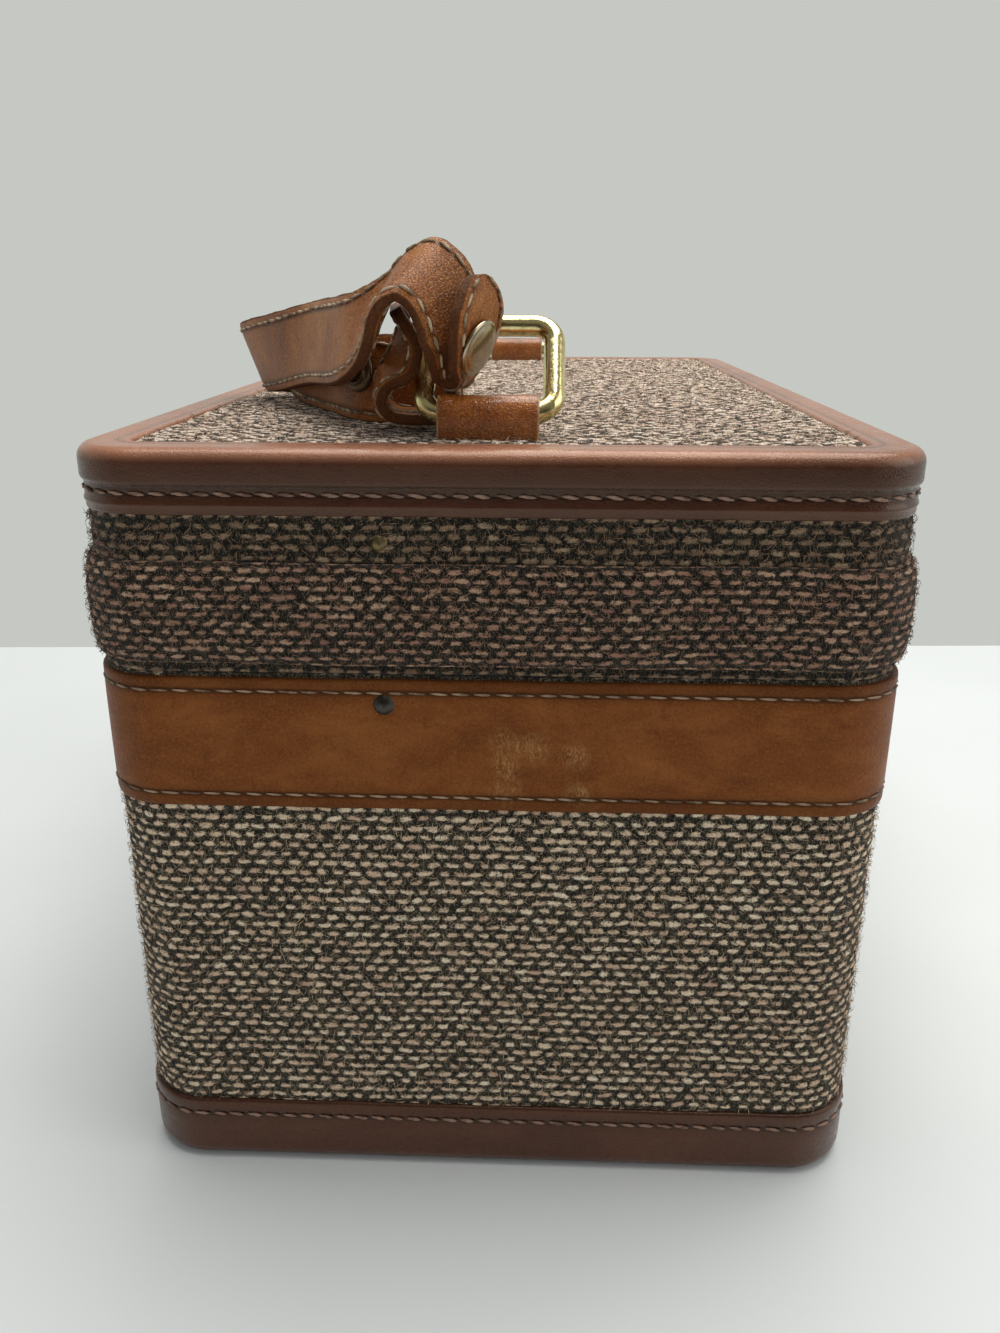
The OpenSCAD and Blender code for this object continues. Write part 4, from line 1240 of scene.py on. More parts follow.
    def roll(self) -> None:
        """Wraps the padded roll round the lid, in two lengths that end beside the latches."""
        a, b, c, d = (self.front_run(x + gap) for x in (-self.latch_x, self.latch_x)
                      for gap in (-self.latch_gap, self.latch_gap))
        half = OUTLINE.near_half
        back = np.arange(d - OUTLINE.around, -half, self.roll_back_step)
        near = np.arange(-half, a - self.roll_near_step / 2, self.roll_near_step)
        long, short = np.concatenate([back, near, [a]]), np.linspace(b, c, self.roll_front_points)
        shell, hairs = Shell(), Shell()
        for seed, runs in enumerate((long, short)):
            self.roll_length(shell, runs)
            start, end, margin = runs[0], runs[-1], self.roll_hairs_margin
            number = int((end - start) * self.roll_hairs_per_mm)
            draw = np.random.default_rng(seed)
            spot, normal = OUTLINE.walk(draw.uniform(start + margin, end - margin, number))
            turn = draw.uniform(-self.roll_hairs_turn, self.roll_hairs_turn, number)
            out = -self.inset + (self.roll_out - 0.3) * np.cos(turn) ** self.roundness
            level = self.roll_low + self.roll_high * (1 + np.sin(turn)) / 2
            roots = np.column_stack([spot + normal * out[:, None], level])
            Fuzz(seed=seed + 60).grow(hairs, roots, unit(np.column_stack([normal, np.tan(turn) * 0.25])))
        # The roll's cloth is painted darker than the body's, as painted shade.
        roll = self.piece("tweed_roll", shell, "lid", "tweed_roll", Use.SHADED_ROLL_CLOTH, ["lid_bumper"])
        self.piece("roll_hairs", hairs, "lid", "tweed_roll", Use.SHADED_ROLL_HAIRS)

    def roll_length(self, shell: Shell, runs: Array) -> None:
        """Adds one length of roll with rounded ends.

        Args:
            shell: the shell that takes it.
            runs: its running lengths.
        """
        a = np.radians(np.linspace(-90, 90, self.roll_steps))
        round_out = np.cos(a) ** self.roundness
        round_up = (1 + np.sign(np.sin(a)) * np.abs(np.sin(a)) ** 0.94) / 2
        ends = np.minimum(runs - runs[0], runs[-1] - runs)
        blunt = np.sqrt(np.clip(1 - (1 - rise(ends, 0, self.roll_blunt)) ** 2, 0, 1))[:, None]
        lump = 1 + 0.06 * OUTLINE.waves(runs, 17, 96, 41, 23)
        out = -self.inset + (self.roll_out - 0.25) * (blunt * lump) * round_out
        middle = self.roll_low + self.roll_high / 2 + 0.25 * OUTLINE.waves(runs, 9, 150, 70)
        level = middle + (round_up - 0.5) * (self.roll_high * (0.9 + 0.1 * blunt))
        across = np.hypot(np.diff(round_out * self.roll_out), np.diff(round_up * self.roll_high))
        arcs = np.concatenate([[0], np.cumsum(across)])
        u = np.broadcast_to(runs[:, None], level.shape)
        v = np.broadcast_to(arcs[None, :], level.shape) + 0.3 * OUTLINE.waves(runs, 3, 88)
        height, mask, tone = Slubs(seed=52, proud=0.46).relief(u, v, OUTLINE.around)
        edge = np.minimum(1, np.minimum(arcs, arcs[-1] - arcs) / 1.2) * blunt
        shell.grid(OUTLINE.sweep(runs, out + height * edge, level), slub=mask, tone=tone)


@dataclass
class Trims(SubAssembly):
    """The leathercloth trims of the lid and base, the tan belt, and their stitches."""

    top: float = 222.5
    lid_low: float = 205.5
    step_up: float = 8.0
    groove_up: float = 5.6
    ridge_up: float = 2.7
    flange: float = 14.0
    flange_t: float = 1.6
    hem: float = 0.9
    cloth_in: float = 1.55
    edge_r: float = 4.0
    foot_r: float = 5.0
    round_steps: int = 12
    base_high: float = 22.5
    base_groove: float = 17.3
    belt_low: float = 124.0
    belt_high: float = 162.0
    belt_seams: tuple[float, float] = (128.0, 158.4)
    trim_stations: int = 640
    belt_stations: int = 560
    seam_stations: int = 1200

    def build(self) -> None:
        """Makes the trims, the belt and all their stitches."""
        self.lid_trim()
        self.base_trim()
        self.belt()
        self.dress(Use.TRIM, "base_panel")

    def lid_trim(self) -> None:
        """Sweeps the lid's edge trim with its flange, rounded edge, step and stitched hem."""
        low, top, hem, r = self.lid_low, self.top, -self.hem, self.edge_r
        step_z, groove, ridge = low + self.step_up, low + self.groove_up, low + self.ridge_up
        flange = [(-self.flange - 0.3, top - self.flange_t - 0.6), (-self.flange - 0.1, top - 1.0),
                  (-self.flange + 0.3, top - 0.22), (-self.flange + 1.1, top - 0.02), (-12.6, top),
                  (-11.2, top - 0.06), (-10.6, top - 0.14), (-10.0, top - 0.06), (-8.4, top), (-6, top)]
        side = [(0.0, top - 6), (0.0, step_z + 0.9), (-0.08, step_z + 0.35), (-0.35, step_z - 0.1),
                (-0.72, step_z - 0.45), (hem, step_z - 0.9)]
        seam = [(hem, groove + 0.9), (hem - 0.1, groove + 0.4), (hem - 0.3, groove),
                (hem - 0.1, groove - 0.4), (hem, groove - 0.9)]
        foot = [(hem + 0.06, ridge + 0.9), (hem + 0.34, ridge + 0.35), (hem + 0.4, ridge),
                (hem + 0.3, ridge - 0.4), (hem, ridge - 0.9), (hem, low + 0.7), (hem - 0.15, low + 0.25),
                (-self.cloth_in, low)]
        runs = OUTLINE.even(self.trim_stations)
        out, level = split([*flange, *arc(-r, top - r, r, 90, 0, self.round_steps), *side, *seam, *foot])
        drop = rise(level, step_z + 1, -8)
        wave = 0.16 * OUTLINE.waves(runs, 31, 37, 19, 83) * drop + 0.05 * OUTLINE.waves(runs, 7, 55, 27)
        # Painted shade: darker in the stitch groove, under the step and at the foot, over the front face
        # below the rounded edge, and in the flange's groove.
        shade = bell(level, groove, 1.1) + 0.9 * bell(level, step_z - 0.6, 0.7) + 0.5 * bell(level, low, 0.7)
        shade = shade + 0.3 * rise(level, top - 3.0, -2) * (level > step_z)
        shade = np.where(out < -9, 0.6 * bell(out, -10.6, 0.6), shade)
        grid = OUTLINE.sweep(runs, out + 0.5 * wave, level + wave * drop * 0.8)
        # The top flange and rounded edge are marked for a painted highlight, standing in for the top light.
        shell = Shell().grid(grid, closed_u=True, shade=np.clip(shade, 0, 1),
                             rubbed=rise(level, top - 3.4, 2.6))
        self.piece("lid_edging", shell, "lid", "trim_leather", Use.TRIM, ["lid_trim"])
        self.sew_round("lid_edging_stitches", "lid", "trim_leather", Use.TRIM_THREAD, Stitcher(2),
                       out=hem - 0.12, level=groove)

    def base_trim(self) -> None:
        """Sweeps the base trim with its rounded foot edge, stitch groove and turned upper edge."""
        groove, high, r = self.base_groove, self.base_high, self.foot_r
        foot = [(-self.flange - 0.3, 1.9), (-self.flange, 0.0), *arc(-r, r, r, -90, 0, self.round_steps)]
        side = [(0.0, 9), (0.05, 13), (0.0, groove - 1.3), (-0.22, groove - 0.6), (-0.5, groove),
                (-0.22, groove + 0.6), (0.0, groove + 1.3), (0.05, high - 2.2), (0.0, high - 1.1),
                (-0.2, high - 0.35), (-0.6, high - 0.02), (-self.cloth_in, high)]
        runs = OUTLINE.even(self.trim_stations)
        out, level = split(foot + side)
        upper = rise(level, 8, 10)
        wave = 0.22 * OUTLINE.waves(runs, 41, 63, 29, 15) * upper
        # Painted shade in the stitch groove and along the upper edge.
        shade = np.clip(bell(level, groove, 1.0) + 0.6 * bell(level, high, 0.5), 0, 1)
        grid = OUTLINE.sweep(runs, out + np.minimum(0.2, 0.6 * wave), level + wave * upper)
        self.piece("base_edging", Shell().grid(grid, closed_u=True, shade=shade), "case_body", "trim_leather",
                   Use.TRIM, ["base_trim"])
        self.sew_round("base_edging_stitches", "case_body", "trim_leather", Use.TRIM_THREAD, Stitcher(3),
                       out=-0.28, level=groove)

    def belt(self) -> None:
        """Sweeps the tan belt and sews its two lines."""
        low, high, lines = self.belt_low, self.belt_high, self.belt_seams
        edge = [(-self.cloth_in, low), (-0.5, low + 0.02), (-0.12, low + 0.3), (0.0, low + 0.9)]
        seam = ((0.02, -1.2), (-0.12, -0.5), (-0.2, 0.0), (-0.12, 0.5), (0.02, 1.2))
        first, second = ([(out, line + up) for out, up in seam] for line in lines)
        field_levels = np.linspace(lines[0] + 3, lines[1] - 3, 12)
        out, level = split([*edge, *first, *((0.05, z) for z in field_levels), *second,
                            *((out, low + high - z) for out, z in reversed(edge))])
        runs = OUTLINE.even(self.belt_stations)
        middle = np.sin(np.pi * rise(level, low, high - low))
        wave = 0.12 * OUTLINE.waves(runs, 61, 90, 47, 33) * middle
        rim = 0.12 * OUTLINE.waves(runs, 67, 71, 31)
        # Painted shade in both stitch grooves and along the belt's top and bottom edges.
        shade = sum(bell(level, line, 0.95) for line in lines)
        shade = shade + 0.45 * bell(level, low, 3.2) + 0.45 * bell(level, high, 2.6)
        shell = Shell().grid(OUTLINE.sweep(runs, out + np.minimum(0.12, wave), level + rim), closed_u=True,
                             shade=np.clip(shade, 0, 1))
        self.piece("belt", shell, "case_body", "tan_leather", Use.BELT, ["belt_band"])
        for n, line in enumerate(lines):
            stitcher = Stitcher(5 + n, long=5.3, thick=0.64, twist=0.12, slant=0.16)
            self.sew_round(f"belt_stitches_{n + 1}", "case_body", "tan_leather", Use.BELT_THREAD, stitcher,
                           out=-0.14, level=line)

    def sew_round(self, name: str, body: str, slot: str, use: Use, stitcher: Stitcher, out: float,
                  level: float) -> None:
        """Sews a line round the case at a level.

        Args:
            name: the piece's name.
            body: the body that it rides on.
            slot: the record's material slot.
            use: which finish it has.
            stitcher: how it is sewn.
            out: the line's distance outside the outline.
            level: its height.
        """
        runs = np.linspace(0, OUTLINE.around, self.seam_stations)
        line = OUTLINE.sweep(runs, np.array([out]), np.array([level]))[:, 0]
        normal = np.concatenate([OUTLINE.walk(runs)[1], np.zeros((len(runs), 1))], 1)
        shell = Shell()
        stitcher.sew(shell, line, normal)
        self.piece(name, shell, body, slot, use)


# Stations of the strap as (middle, direction across), in mm from the near chape: the tab that carries the
# cap, the tight fold inside the near ring, the long loop over the lid and back, and the tongue that goes
# round the ring's side bar.
TAB: Stations = [
    ((-1.6, 2.7, 41), (22, -10, 1)), ((-1.3, 2.3, 34.5), (22, -10.5, 1)), ((-1, 3.7, 25.5), (22, -11, 0)),
    ((0.4, 5.9, 19.3), (20, -8, 0)), ((3, 6.7, 15.8), (15, -4, 0))]
FOLD: Stations = [
    ((5, 7.8, 14.2), (12, -3, 0)), ((5.6, 9.8, 13.7), (12, -2.5, 0)), ((5.2, 11.9, 15), (12, -3, 1))]
DRAPE: Stations = [
    ((2.7, 11.6, 18.6), (15, -7, 3)), ((1, 10.4, 25), (18, -10, 7)), ((1, 10.5, 32), (18, -12, 11)),
    ((1.2, 13.1, 38.4), (18, -12.5, 13)), ((1.5, 18.1, 42.2), (19, -11, 14)),
    ((2.4, 23.7, 39.8), (19, -8, 14)), ((4.2, 28.5, 32.8), (16, -5, 16)),
    ((8.7, 33.9, 27.6), (11, -3, 19)), ((19, 41.7, 23.9), (8, -2, 21)),
    ((53, 57.3, 21.2), (4, -2, 24)), ((75, 72.5, 17.5), (4, 3, 23)), ((97, 85.8, 14.6), (5, 8.5, 21)),
    ((108, 87, 14), (3, 8, 22)), ((110.5, 80, 13.6), (1, 6, 24)), ((101, 75, 13.2), (1, 3, 25)),
    ((79, 65.5, 12.8), (0, 1, 25)), ((55, 52.1, 12.7), (0, 0, 25)), ((41, 44.9, 12.7), (0, 0, 25)),
    ((32.8, 39.9, 12.7), (0, 0, 25)), ((28.3, 33.3, 12.7), (0, 0, 25)), ((27.3, 25, 12.7), (0, 0, 25)),
    ((27.2, 17, 12.7), (0, 0, 25)), ((27.2, 10.5, 12.7), (0, 0, 25))]
TONGUE: Stations = [
    ((13.6, 10.3, 11.6), (14, 0, 0)), ((14.4, 10.7, 7.4), (17, 0, 0)), ((14.8, 14.1, 4.1), (19, 0, 0)),
    ((14.7, 21.1, 3.6), (20, 0, 0)), ((14, 27.3, 4.6), (20, 1, 0)), ((13.5, 30.6, 8.8), (20, 2.5, 1)),
    ((13.1, 29.3, 13.8), (20, 5, 3)), ((11.7, 26.1, 16.3), (19, 8, 3)), ((10.3, 24.2, 19), (18, 10, 3)),
    ((10.4, 22.9, 22), (18, 9, 3)), ((11.2, 22.5, 25.1), (18.5, 6.5, 2.5)), ((11.8, 23.1, 28), (19, 4.5, 2)),
    ((12.2, 24.5, 31), (19, 3, 2)), ((12.5, 25.6, 33.2), (19, 2.5, 2))]


class Curve:
    """A strap's middle line and width direction through its stations, as in the part's drape."""

    steps = 12

    def __init__(self, stations: Stations) -> None:
        """Interpolates the stations.

        Args:
            stations: pairs of a middle point and a direction across, in mm.
        """
        data = np.array(stations, float)
        last = len(data) - 1
        spots = []
        for k in range(last * self.steps + 1):
            i = min(k // self.steps, last - 1)
            t = k / self.steps - i
            a, b, c, d = (data[min(max(i + j, 0), last)] for j in (-1, 0, 1, 2))
            spots.append(0.5 * (2 * b + (c - a) * t + (2 * a - 5 * b + 4 * c - d) * t**2
                                + (3 * b - a - 3 * c + d) * t**3))
        self.middle, self.across = np.array(spots).swapaxes(0, 1)
        self.across = unit(self.across)
        self.run = running(self.middle)
        up = np.cross(unit(np.gradient(self.middle, axis=0)), self.across)
        self.lean = np.linalg.norm(up, axis=1)
        self.up = up / self.lean[:, None]

    def index(self, station: float) -> int:
        """Number of the point at a station, or at a fraction between two."""
        return round(station * self.steps)

    def half_width(self, width: float, reach: float) -> Array:
        """Half width along a band with rounded ends.

        Args:
            width: the band's width.
            reach: how far the rounding reaches past each end.

        Returns:
            The half width at each point.
        """
        ends = (self.run + reach, self.run[-1] - self.run + reach)
        return np.minimum(*(np.where(s >= width / 2, width / 2, np.sqrt(np.clip(s * (width - s), 0, None)))
                            for s in ends))


# Profiles of the snap's two halves as (radius, height), from the outside in.
DOME = [(6.4 * math.cos(a), 0.95 + 0.95 * math.sin(a)) for a in np.radians(range(8, 90, 9))]
CAP_PROFILE = [(7.3, 0.0), (7.5, 0.25), (7.45, 0.7), (7.1, 0.95), (6.75, 1.0), (6.5, 1.08), *DOME,
               (0.01, 1.9)]
SOCKET_PROFILE = [(6.5, 0.0), (6.5, 0.4), (6.2, 0.95), (5.6, 1.15), (5.0, 1.2), (4.6, 1.3), (4.3, 1.8),
                  (4.0, 2.0), (3.5, 1.95), (3.2, 1.6), (3.2, 0.3), (2.4, 0.12), (1.2, 0.1), (0.01, 0.1)]


@dataclass
class Handle(SubAssembly):
    """The strap that hangs from the near ring, its tongue, cap, socket and stitches, and both rings."""

    chape_x: float = 159.0
    side_y: float = 2.5
    top: float = 222.5
    width: float = 25.0
    waist: float = 10.0
    waist_reach: float = 13.0
    tongue_width: float = 19.0
    narrowest: float = 1.2
    thick: float = 3.6
    edge_round: float = 0.75
    edge_levels: tuple[float, ...] = (0.62, 0.2, -0.2, -0.62)
    edge_full: float = 1.35
    edge_slope: float = 2.2
    points_across: int = 41
    roughness: float = 0.16
    pressed: float = 0.16
    seam_inset: float = 2.6
    seam_wide: float = 0.7
    seam_end: float = 1.6
    cap_station: float = 2.25
    socket_from_end: float = 4.75
    socket_lift: float = 2.6
    seat: float = 0.02
    ring_up: float = 6.2
    wire: float = 5.8
    ring_w: float = 35.0
    ring_h: float = 28.2
    ring_r: float = 5.5
    ring_points: int = 220
    wire_points: int = 28
    wire_uneven: float = 0.006
    near_lean: float = 40.0
    far_lean: float = 96.0

    def placed(self, stations: Stations) -> Curve:
        """The curve through stations that are given from the near chape."""
        dx, dy, dz = -self.chape_x, self.side_y, self.top
        return Curve([((x + dx, y + dy, z + dz), way) for (x, y, z), way in stations])

    def build(self) -> None:
        """Makes the strap, its fittings and both rings."""
        stations = TAB + FOLD + DRAPE
        strap, tongue = self.placed(stations), self.placed(TONGUE)
        fold_run = strap.run[strap.index(len(TAB) + 1)]
        waist = self.width / 2 - (self.width - self.waist) / 2 * bell(strap.run, fold_run, self.waist_reach)
        self.band("strap", strap, np.minimum(strap.half_width(self.width, 0.3), waist), "handle_strap", 71)
        self.band("tongue", tongue, tongue.half_width(self.tongue_width, 3), "strap_tongue", 72)
        self.fittings(strap, strap.index(self.cap_station), strap.index(len(stations) - self.socket_from_end))
        self.ring("near_ring_wire", "handle", "near_ring", -1, self.near_lean)
        self.ring("far_ring_wire", "far_ring", "far_ring", 1, self.far_lean)

    def band(self, name: str, curve: Curve, half: Array, node: str, seed: int) -> None:
        """Builds one leather band and the stitches along both its edges, on both faces.

        Args:
            name: the band's name.
            curve: its middle line.
            half: its half width at each point.
            node: the node that it stands for.
            seed: the seed of its roughness.
        """
        half = np.maximum(half, self.narrowest)
        draw = np.random.default_rng(seed)
        rough, average = draw.normal(0, 1, (len(half), 2)), np.ones(3) / 3
        rough = self.roughness * np.stack([np.convolve(side, average, "same") for side in rough.T], -1)
        flat, h = np.linspace(-1, 1, self.points_across), self.thick / 2
        loop: list[tuple[float, float, float]] = []
        for face in (1, -1):
            loop += [(q, face * h, 0.0) for q in flat[::face]]
            loop += [(face, face * y * h, 1.0) for y in self.edge_levels]
        q, y, raw = split(loop)
        wide = (half / curve.lean)[:, None]
        on_edge = raw > 0.5
        bulge = np.sqrt(np.clip(1 - (y / (h * self.edge_full)) ** 2, 0, 1))
        reach = (wide - self.edge_round) * q + np.where(on_edge, self.edge_round * bulge * q, 0.0)
        reach = reach + np.where(on_edge, np.where(q > 0, rough[:, :1], rough[:, 1:]), 0.0)
        from_edge = np.abs(q) * wide - wide
        near_edge = rise(from_edge, -self.edge_slope, self.edge_slope)
        pressed = bell(from_edge, -self.seam_inset, self.seam_wide) * ~on_edge
        level = y * (1 - self.pressed * near_edge * ~on_edge) - np.sign(y) * self.pressed * pressed
        points = (curve.middle[:, None] + curve.across[:, None] * reach[..., None]
                  + curve.up[:, None] * level[..., None])
        # Painted shade in the pressed stitch grooves.
        shell = Shell().grid(points, closed_v=True, caps=True, shade=0.9 * pressed,
                             edge=np.maximum(raw, 0.35 * near_edge))
        self.piece(f"{name}_leather", shell, "handle", "handle_leather", Use.HANDLE, [node])
        thread = Shell()
        sewn = np.flatnonzero(half > self.seam_inset + self.seam_end)
        part = slice(sewn[0], sewn[-1] + 1)
        for face in (1, -1):
            for edge in (1, -1):
                across = (half[part] - self.seam_inset) / curve.lean[part] * edge
                line = (curve.middle[part] + curve.across[part] * across[:, None]
                        + curve.up[part] * (face * (h - 0.12)))
                Stitcher(seed + face + 2 * edge, long=4.7, thick=0.85, sunk=0.4, twist=0.14,
                         slant=0.25).sew(thread, line, curve.up[part] * face)
        self.piece(f"{name}_stitches", thread, "handle", "handle_leather", Use.STRAP_THREAD)

    def fittings(self, strap: Curve, cap_at: int, socket_at: int) -> None:
        """Makes the domed cap on the tab and the socket near the strap's end.

        Args:
            strap: the strap's curve.
            cap_at: number of the curve's point under the cap.
            socket_at: number of the point beside the socket.
        """
        lift = self.thick / 2 + self.seat
        seats = strap.middle + strap.up * lift
        cap = dome_lathe(CAP_PROFILE, seats[cap_at], strap.up[cap_at])
        self.piece("snap_cap", cap, "handle", "cap_brass", Use.CAP, ["strap_cap"])
        beside = seats[socket_at] + strap.across[socket_at] * self.socket_lift
        socket = dome_lathe(SOCKET_PROFILE, beside, strap.up[socket_at])
        self.piece("snap_ring", socket, "handle", "nickel", Use.SOCKET, ["snap_socket"])

    def ring(self, name: str, body: str, node: str, side: int, lean: float) -> None:
        """Bends one wire ring.

        Args:
            name: the piece's name.
            body: the body that it rides on.
            node: the node that it stands for.
            side: -1 for the near chape and 1 for the far one.
            lean: its angle from upright in degrees, towards +X.
        """
        half, r, high = self.ring_w / 2, self.ring_r, self.ring_h
        line: list[tuple[float, float]] = []
        for centre, start in (((r, half - r), 180), ((high - r, half - r), 90), ((high - r, -half + r), 0),
                              ((r, -half + r), -90)):
            line += arc(*centre, r, start, start - 90, 10)
        flat = np.array(line + line[:1])
        run = running(flat)
        even = np.linspace(0, run[-1], self.ring_points, endpoint=False)
        path = between(even, run, flat)
        way = unit(np.roll(path, -1, 0) - np.roll(path, 1, 0))
        tilt = math.radians(lean)
        plane = np.array([[math.sin(tilt), 0, math.cos(tilt)], [0, 1.0, 0]])
        face = np.array([math.cos(tilt), 0, -math.sin(tilt)])
        centre = np.array([side * self.chape_x, self.side_y, self.top + self.ring_up])
        turn = np.linspace(0, 2 * np.pi, self.wire_points, endpoint=False)
        uneven = self.wire_uneven * np.sin(even / 5.1)[:, None] * np.cos(turn * 2 + even[:, None] / 9)
        radius = self.wire / 2 * (1 + uneven)
        outward = np.einsum("ij,jk->ik", np.stack([way[:, 1], -way[:, 0]], -1), plane)
        spots = centre + path[:, :1] * plane[0] + path[:, 1:] * plane[1]
        points = (spots[:, None] + outward[:, None] * (radius * np.cos(turn))[..., None]
                  + face * (radius * np.sin(turn))[..., None])
        shell = Shell().grid(points, closed_u=True, closed_v=True)
        self.piece(name, shell, body, "aged_brass", Use.RING, [node])


@dataclass
class Chapes(SubAssembly):
    """The two leather loops that hold the rings, each a folded strip with cut edges."""

    x: float = 159.0
    y: float = 2.5
    axis_z: float = 228.7
    foot_z: float = 220.9
    wide: float = 27.0
    outer: float = 4.8
    bore: float = 2.98
    bend_steps: int = 26
    rows: int = 26
    cut_depth: float = 0.5
    cut_steps: int = 6
    cut_bulge: float = 0.22
    flat_from: float = 1.2
    wobble: float = 0.1

    def build(self) -> None:
        """Makes both chapes."""
        for side, node in ((-1, "chape_near"), (1, "chape_far")):
            self.chape(side, node)

    def chape(self, side: int, node: str) -> None:
        """Folds one strip round its ring's bar and down to the tweed.

        Args:
            side: -1 for the near chape and 1 for the far one.
            node: the node that it stands for.
        """
        foot = self.foot_z - self.axis_z + 0.05
        legs = ((0.2, self.outer, self.bore), (0.6, self.outer + 0.05, self.bore * 0.95),
                (1.0, self.outer + 0.1, self.bore * 0.8))
        outside = [*((-out, foot * down) for down, out, _ in reversed(legs)),
                   *arc(0, 0, self.outer, 180, 0, self.bend_steps),
                   *((out, foot * down) for down, out, _ in legs)]
        inside = [*((-out, foot * down) for down, _, out in reversed(legs)),
                  *arc(0, 0, self.bore, 0, 180, self.bend_steps)[::-1],
                  *((out, foot * down) for down, _, out in legs)]
        outer, inner = np.array(outside), np.array(inside)
        inner = between(np.linspace(0, 1, len(outer)), np.linspace(0, 1, len(inner)), inner)
        half, inner_half = self.wide / 2, self.wide / 2 - self.flat_from
        rim = ((0.0, self.cut_depth), (0.25, 0.16), (0.7, 0.03))
        ys = np.array([*(-half + inward for inward, _ in rim),
                       *np.linspace(-inner_half, inner_half, self.rows),
                       *(half - inward for inward, _ in reversed(rim))])
        ease = np.array([*(e for _, e in rim), *([0.0] * self.rows), *(e for _, e in reversed(rim))])
        centre = np.array([side * self.x, self.y, self.axis_z])
        out = unit(outer)
        phase = np.random.default_rng(80 + side).uniform(0, 6)
        wobble = self.wobble * np.sin(np.linspace(0, 9, len(ys)) + phase)
        # Painted shade: the chape grows darker towards its foot.
        low = np.clip(-outer[:, 1] / abs(foot), 0, 1) ** 1.3
        skin = outer - out * (ease - wobble * 0.5 * (ease == 0))[:, None, None]
        across = np.broadcast_to(ys[:, None], skin.shape[:2])
        grid = np.stack([skin[..., 0], across, skin[..., 1]], -1) + centre
        shell = Shell().grid(grid[::-1], edge=(ease > 0.1)[::-1, None], shade=0.75 * low)
        start, t = outer - out * self.cut_depth, np.linspace(0, 1, self.cut_steps)[:, None, None]
        block = start * (1 - t) + inner * t
        for end in (-1, 1):
            across = end * (half + self.cut_bulge * np.sin(np.pi * t[..., 0]))
            across = np.broadcast_to(across, block.shape[:2])
            grid = np.stack([block[..., 0], across, block[..., 1]], -1) + centre
            shell.grid(grid[::end], edge=np.array(1.0), shade=np.array(0.0))
        self.piece(f"{node}_leather", shell, "lid", "chape_leather", Use.CHAPE, [node])


@dataclass
class Hardware(SubAssembly):
    """Hinges, latches, stays and rivets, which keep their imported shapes."""

    sides: tuple[str, str] = ("left", "right")

    def build(self) -> None:
        """Dresses every metal node."""
        for side in self.sides:
            self.dress(Use.LATCH, f"hinge_{side}_body_leaf", f"hinge_{side}_lid_leaf", f"latch_{side}_case",
                       f"hasp_{side}_plate", f"hasp_{side}", f"slider_{side}", f"key_plug_{side}")
            self.dress(Use.FRAME, f"stay_{side}_lower", f"stay_{side}_upper")
        self.dress(Use.FRAME, "hinge_pins", "body_rim", "lid_rim", "chape_plates")
        self.dress(Use.BELT_RIVET, "body_stay_rivets")
        self.dress(Use.LID_RIVET, "lid_stay_rivets")


@dataclass
class Inside(SubAssembly):
    """The shells, linings, mirror and tray inside the case."""

    lined: tuple[str, ...] = ("body_lining", "lid_lining", "tray_ledges", "mirror_frame", "tray",
                              "tray_dividers")

    def build(self) -> None:
        """Dresses the nodes inside."""
        self.dress(Use.BOARD, "body_box", "lid_box")
        self.dress(Use.LINING, *self.lined)
        self.dress(Use.MIRROR, "mirror_glass")
        self.dress(Use.HANDLE, "tray_pulls")


@dataclass(frozen=True)
class Lamp:
    """One square soft lamp: where it hangs and aims, in mm, its size in metres, power and tint."""

    name: str
    spot: Point
    aim: Point
    size: float
    power: float
    tint: Colour
    mirrored: bool = True

    def hang(self) -> None:
        """Puts the lamp into the scene."""
        data = bpy.data.lights.new(self.name, "AREA")
        data.shape, data.size, data.energy, data.color = "SQUARE", self.size, self.power, self.tint
        made = in_scene(self.name, data)
        made.location = Vector(self.spot) * MM
        made.rotation_mode = "QUATERNION"
        made.rotation_quaternion = (Vector(self.aim) - Vector(self.spot)).to_track_quat("-Z", "Y")
        made.visible_glossy = self.mirrored


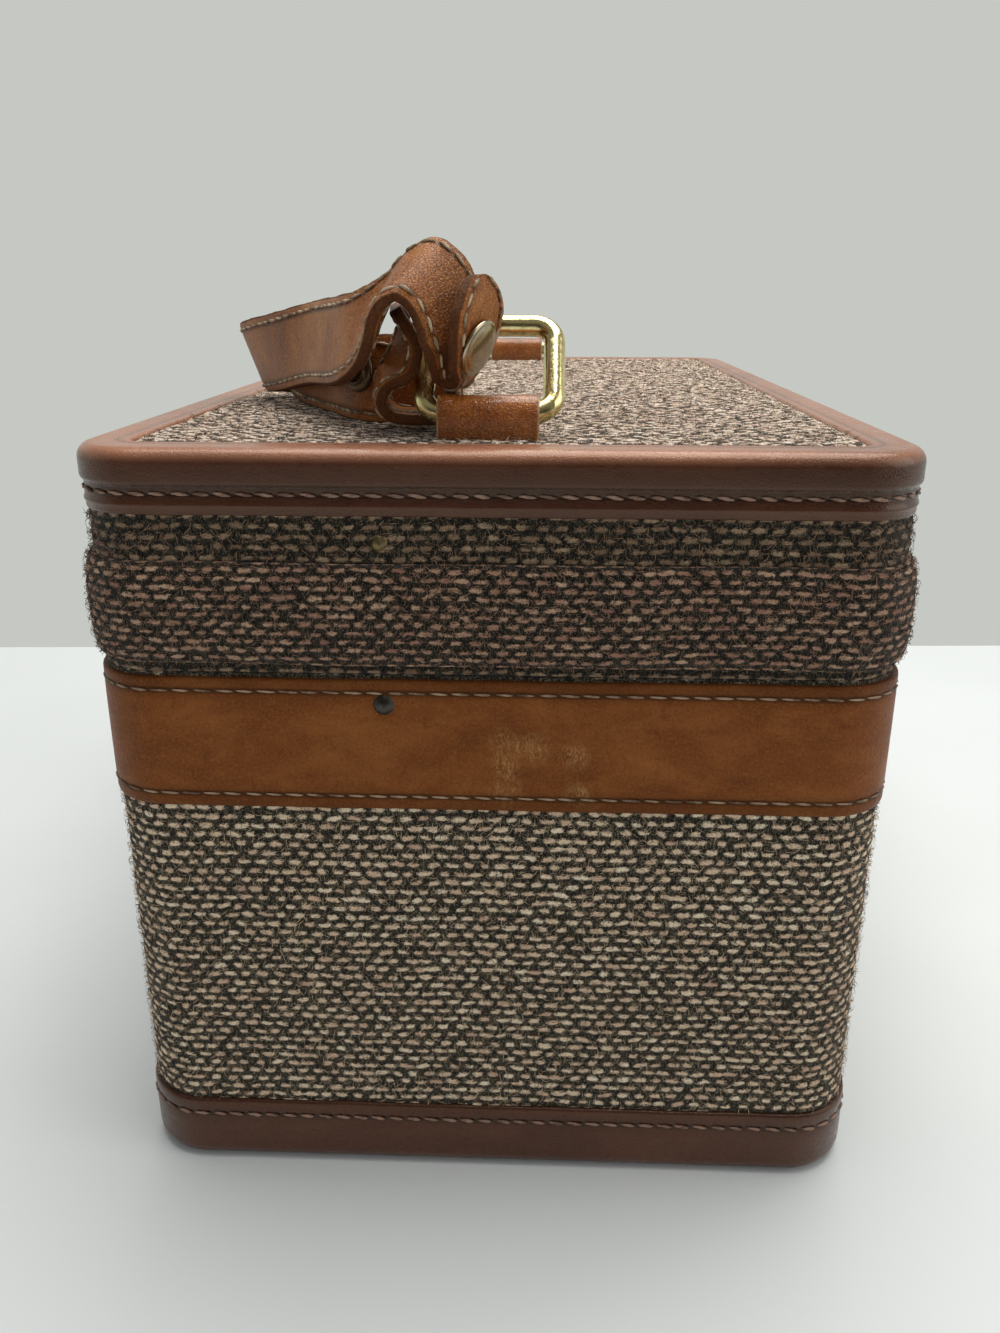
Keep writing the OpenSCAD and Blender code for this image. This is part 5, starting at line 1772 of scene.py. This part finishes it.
@dataclass
class Studio:
    """The table, the pale surroundings, the lamps and the camera."""

    eye: Point = (-452.7, -11.9, 261.1)
    turn: float = 2.18
    pitch: float = 19.52
    roll: float = -0.09
    lens: float = 29.11
    sensor: float = 36.0
    clip: tuple[float, float] = (0.01, 50.0)
    table_far: float = 330.0
    table_slant: float = 0.048
    table_reach: float = 3000.0
    backdrop: Colour = srgb(198, 201, 195)
    ceiling: Colour = srgb(124, 120, 112)
    room: Colour = srgb(70, 68, 64)
    table: Colour = srgb(210, 214, 213)
    sky: float = 0.38
    sky_tint: Colour = (0.95, 0.98, 1.0)
    lamps: tuple[Lamp, ...] = (
        Lamp("top_lamp", (230, -130, 1550), (0, 0, 180), 1.4, 31.0, (1.0, 0.98, 0.95)),
        Lamp("side_lamp", (-300, -1100, 700), (0, 0, 120), 0.9, 4.0, (1.0, 0.97, 0.93)),
        Lamp("front_lamp", (-1500, 500, 500), (-186, 0, 60), 1.0, 2.5, (0.95, 0.98, 1.0), mirrored=False))

    def build(self) -> None:
        """Sets the stage."""
        self.camera()
        self.floor()
        self.surroundings()
        for lamp in self.lamps:
            lamp.hang()
        bpy.context.scene.view_settings.view_transform = "Standard"

    def camera(self) -> None:
        """Places the camera as in the photograph."""
        data = bpy.data.cameras.new("camera")
        data.lens, data.sensor_width = self.lens, self.sensor
        data.clip_start, data.clip_end = self.clip
        made = in_scene("camera", data)
        made.location = Vector(self.eye) * MM
        turn, pitch = math.radians(self.turn), math.radians(self.pitch)
        look = Vector((math.cos(turn) * math.cos(pitch), math.sin(turn) * math.cos(pitch), -math.sin(pitch)))
        made.rotation_mode = "QUATERNION"
        made.rotation_quaternion = look.to_track_quat("-Z", "Y")
        made.rotation_quaternion.rotate(Quaternion(look, math.radians(self.roll)))
        bpy.context.scene.camera = made

    def floor(self) -> None:
        """Lays the pale table under the case."""
        g = Graph("pale_table")
        dull = tuple(0.95 * c for c in self.table)
        g.surface(Base_Color=g.mix(g.span(g.noise(260, 3), 0.3, 0.7), self.table, dull), Roughness=0.6,
                  Normal=g.bump(g.noise(3, 3), 0.05))
        y = self.table_reach
        far = self.table_slant * y
        mesh = bpy.data.meshes.new("table_top")
        corners = ((-y, -y, 0), (self.table_far + far, -y, 0), (self.table_far - far, y, 0), (-y, y, 0))
        mesh.from_pydata([Vector(p) * MM for p in corners], [], [(0, 1, 2, 3)])
        mesh.materials.append(g.material)
        in_scene("table_top", mesh)

    def surroundings(self) -> None:
        """Lights the scene with a pale sky.

        The camera sees the backdrop instead, and metal mirrors the backdrop, a dim room behind the camera and
        a ceiling above.
        """
        world = bpy.data.worlds.new("surroundings")
        bpy.context.scene.world = world
        world.use_nodes = True
        g = Nodes(world.node_tree)
        path = g.new("ShaderNodeLightPath").outputs
        direction = g.new("ShaderNodeTexCoord").outputs["Generated"]
        place = g.new("ShaderNodeSeparateXYZ", Vector=direction).outputs
        mirrored = g.mix(g.span(place["X"], -0.1, -0.7, smooth=False), self.backdrop, self.room)
        mirrored = g.mix(g.span(place["Z"], 0.35, 0.6, smooth=False), mirrored, self.ceiling)
        stage = g.new("ShaderNodeBackground", Color=tuple(c * self.sky for c in self.sky_tint)).outputs[0]
        reflected = g.math("MAXIMUM", path["Is Glossy Ray"], path["Is Transmission Ray"])
        for share, colour in ((reflected, mirrored), (path["Is Camera Ray"], self.backdrop)):
            over = g.new("ShaderNodeBackground", Color=colour).outputs[0]
            both = g.new("ShaderNodeMixShader", Fac=share)
            g.put(both.inputs[1], stage)
            g.put(both.inputs[2], over)
            stage = both.outputs[0]
        g.new("ShaderNodeOutputWorld", Surface=stage)


def main() -> None:
    """Builds the stage and every sub-assembly."""
    logging.basicConfig(level=logging.INFO, format="%(name)s: %(message)s")
    Studio().build()
    materials = {use: finish.material() for use, finish in FINISHES.items()}
    for assembly in (Cloths, Trims, Chapes, Handle, Hardware, Inside):
        assembly(materials).build()


if __name__ == "__main__":
    main()
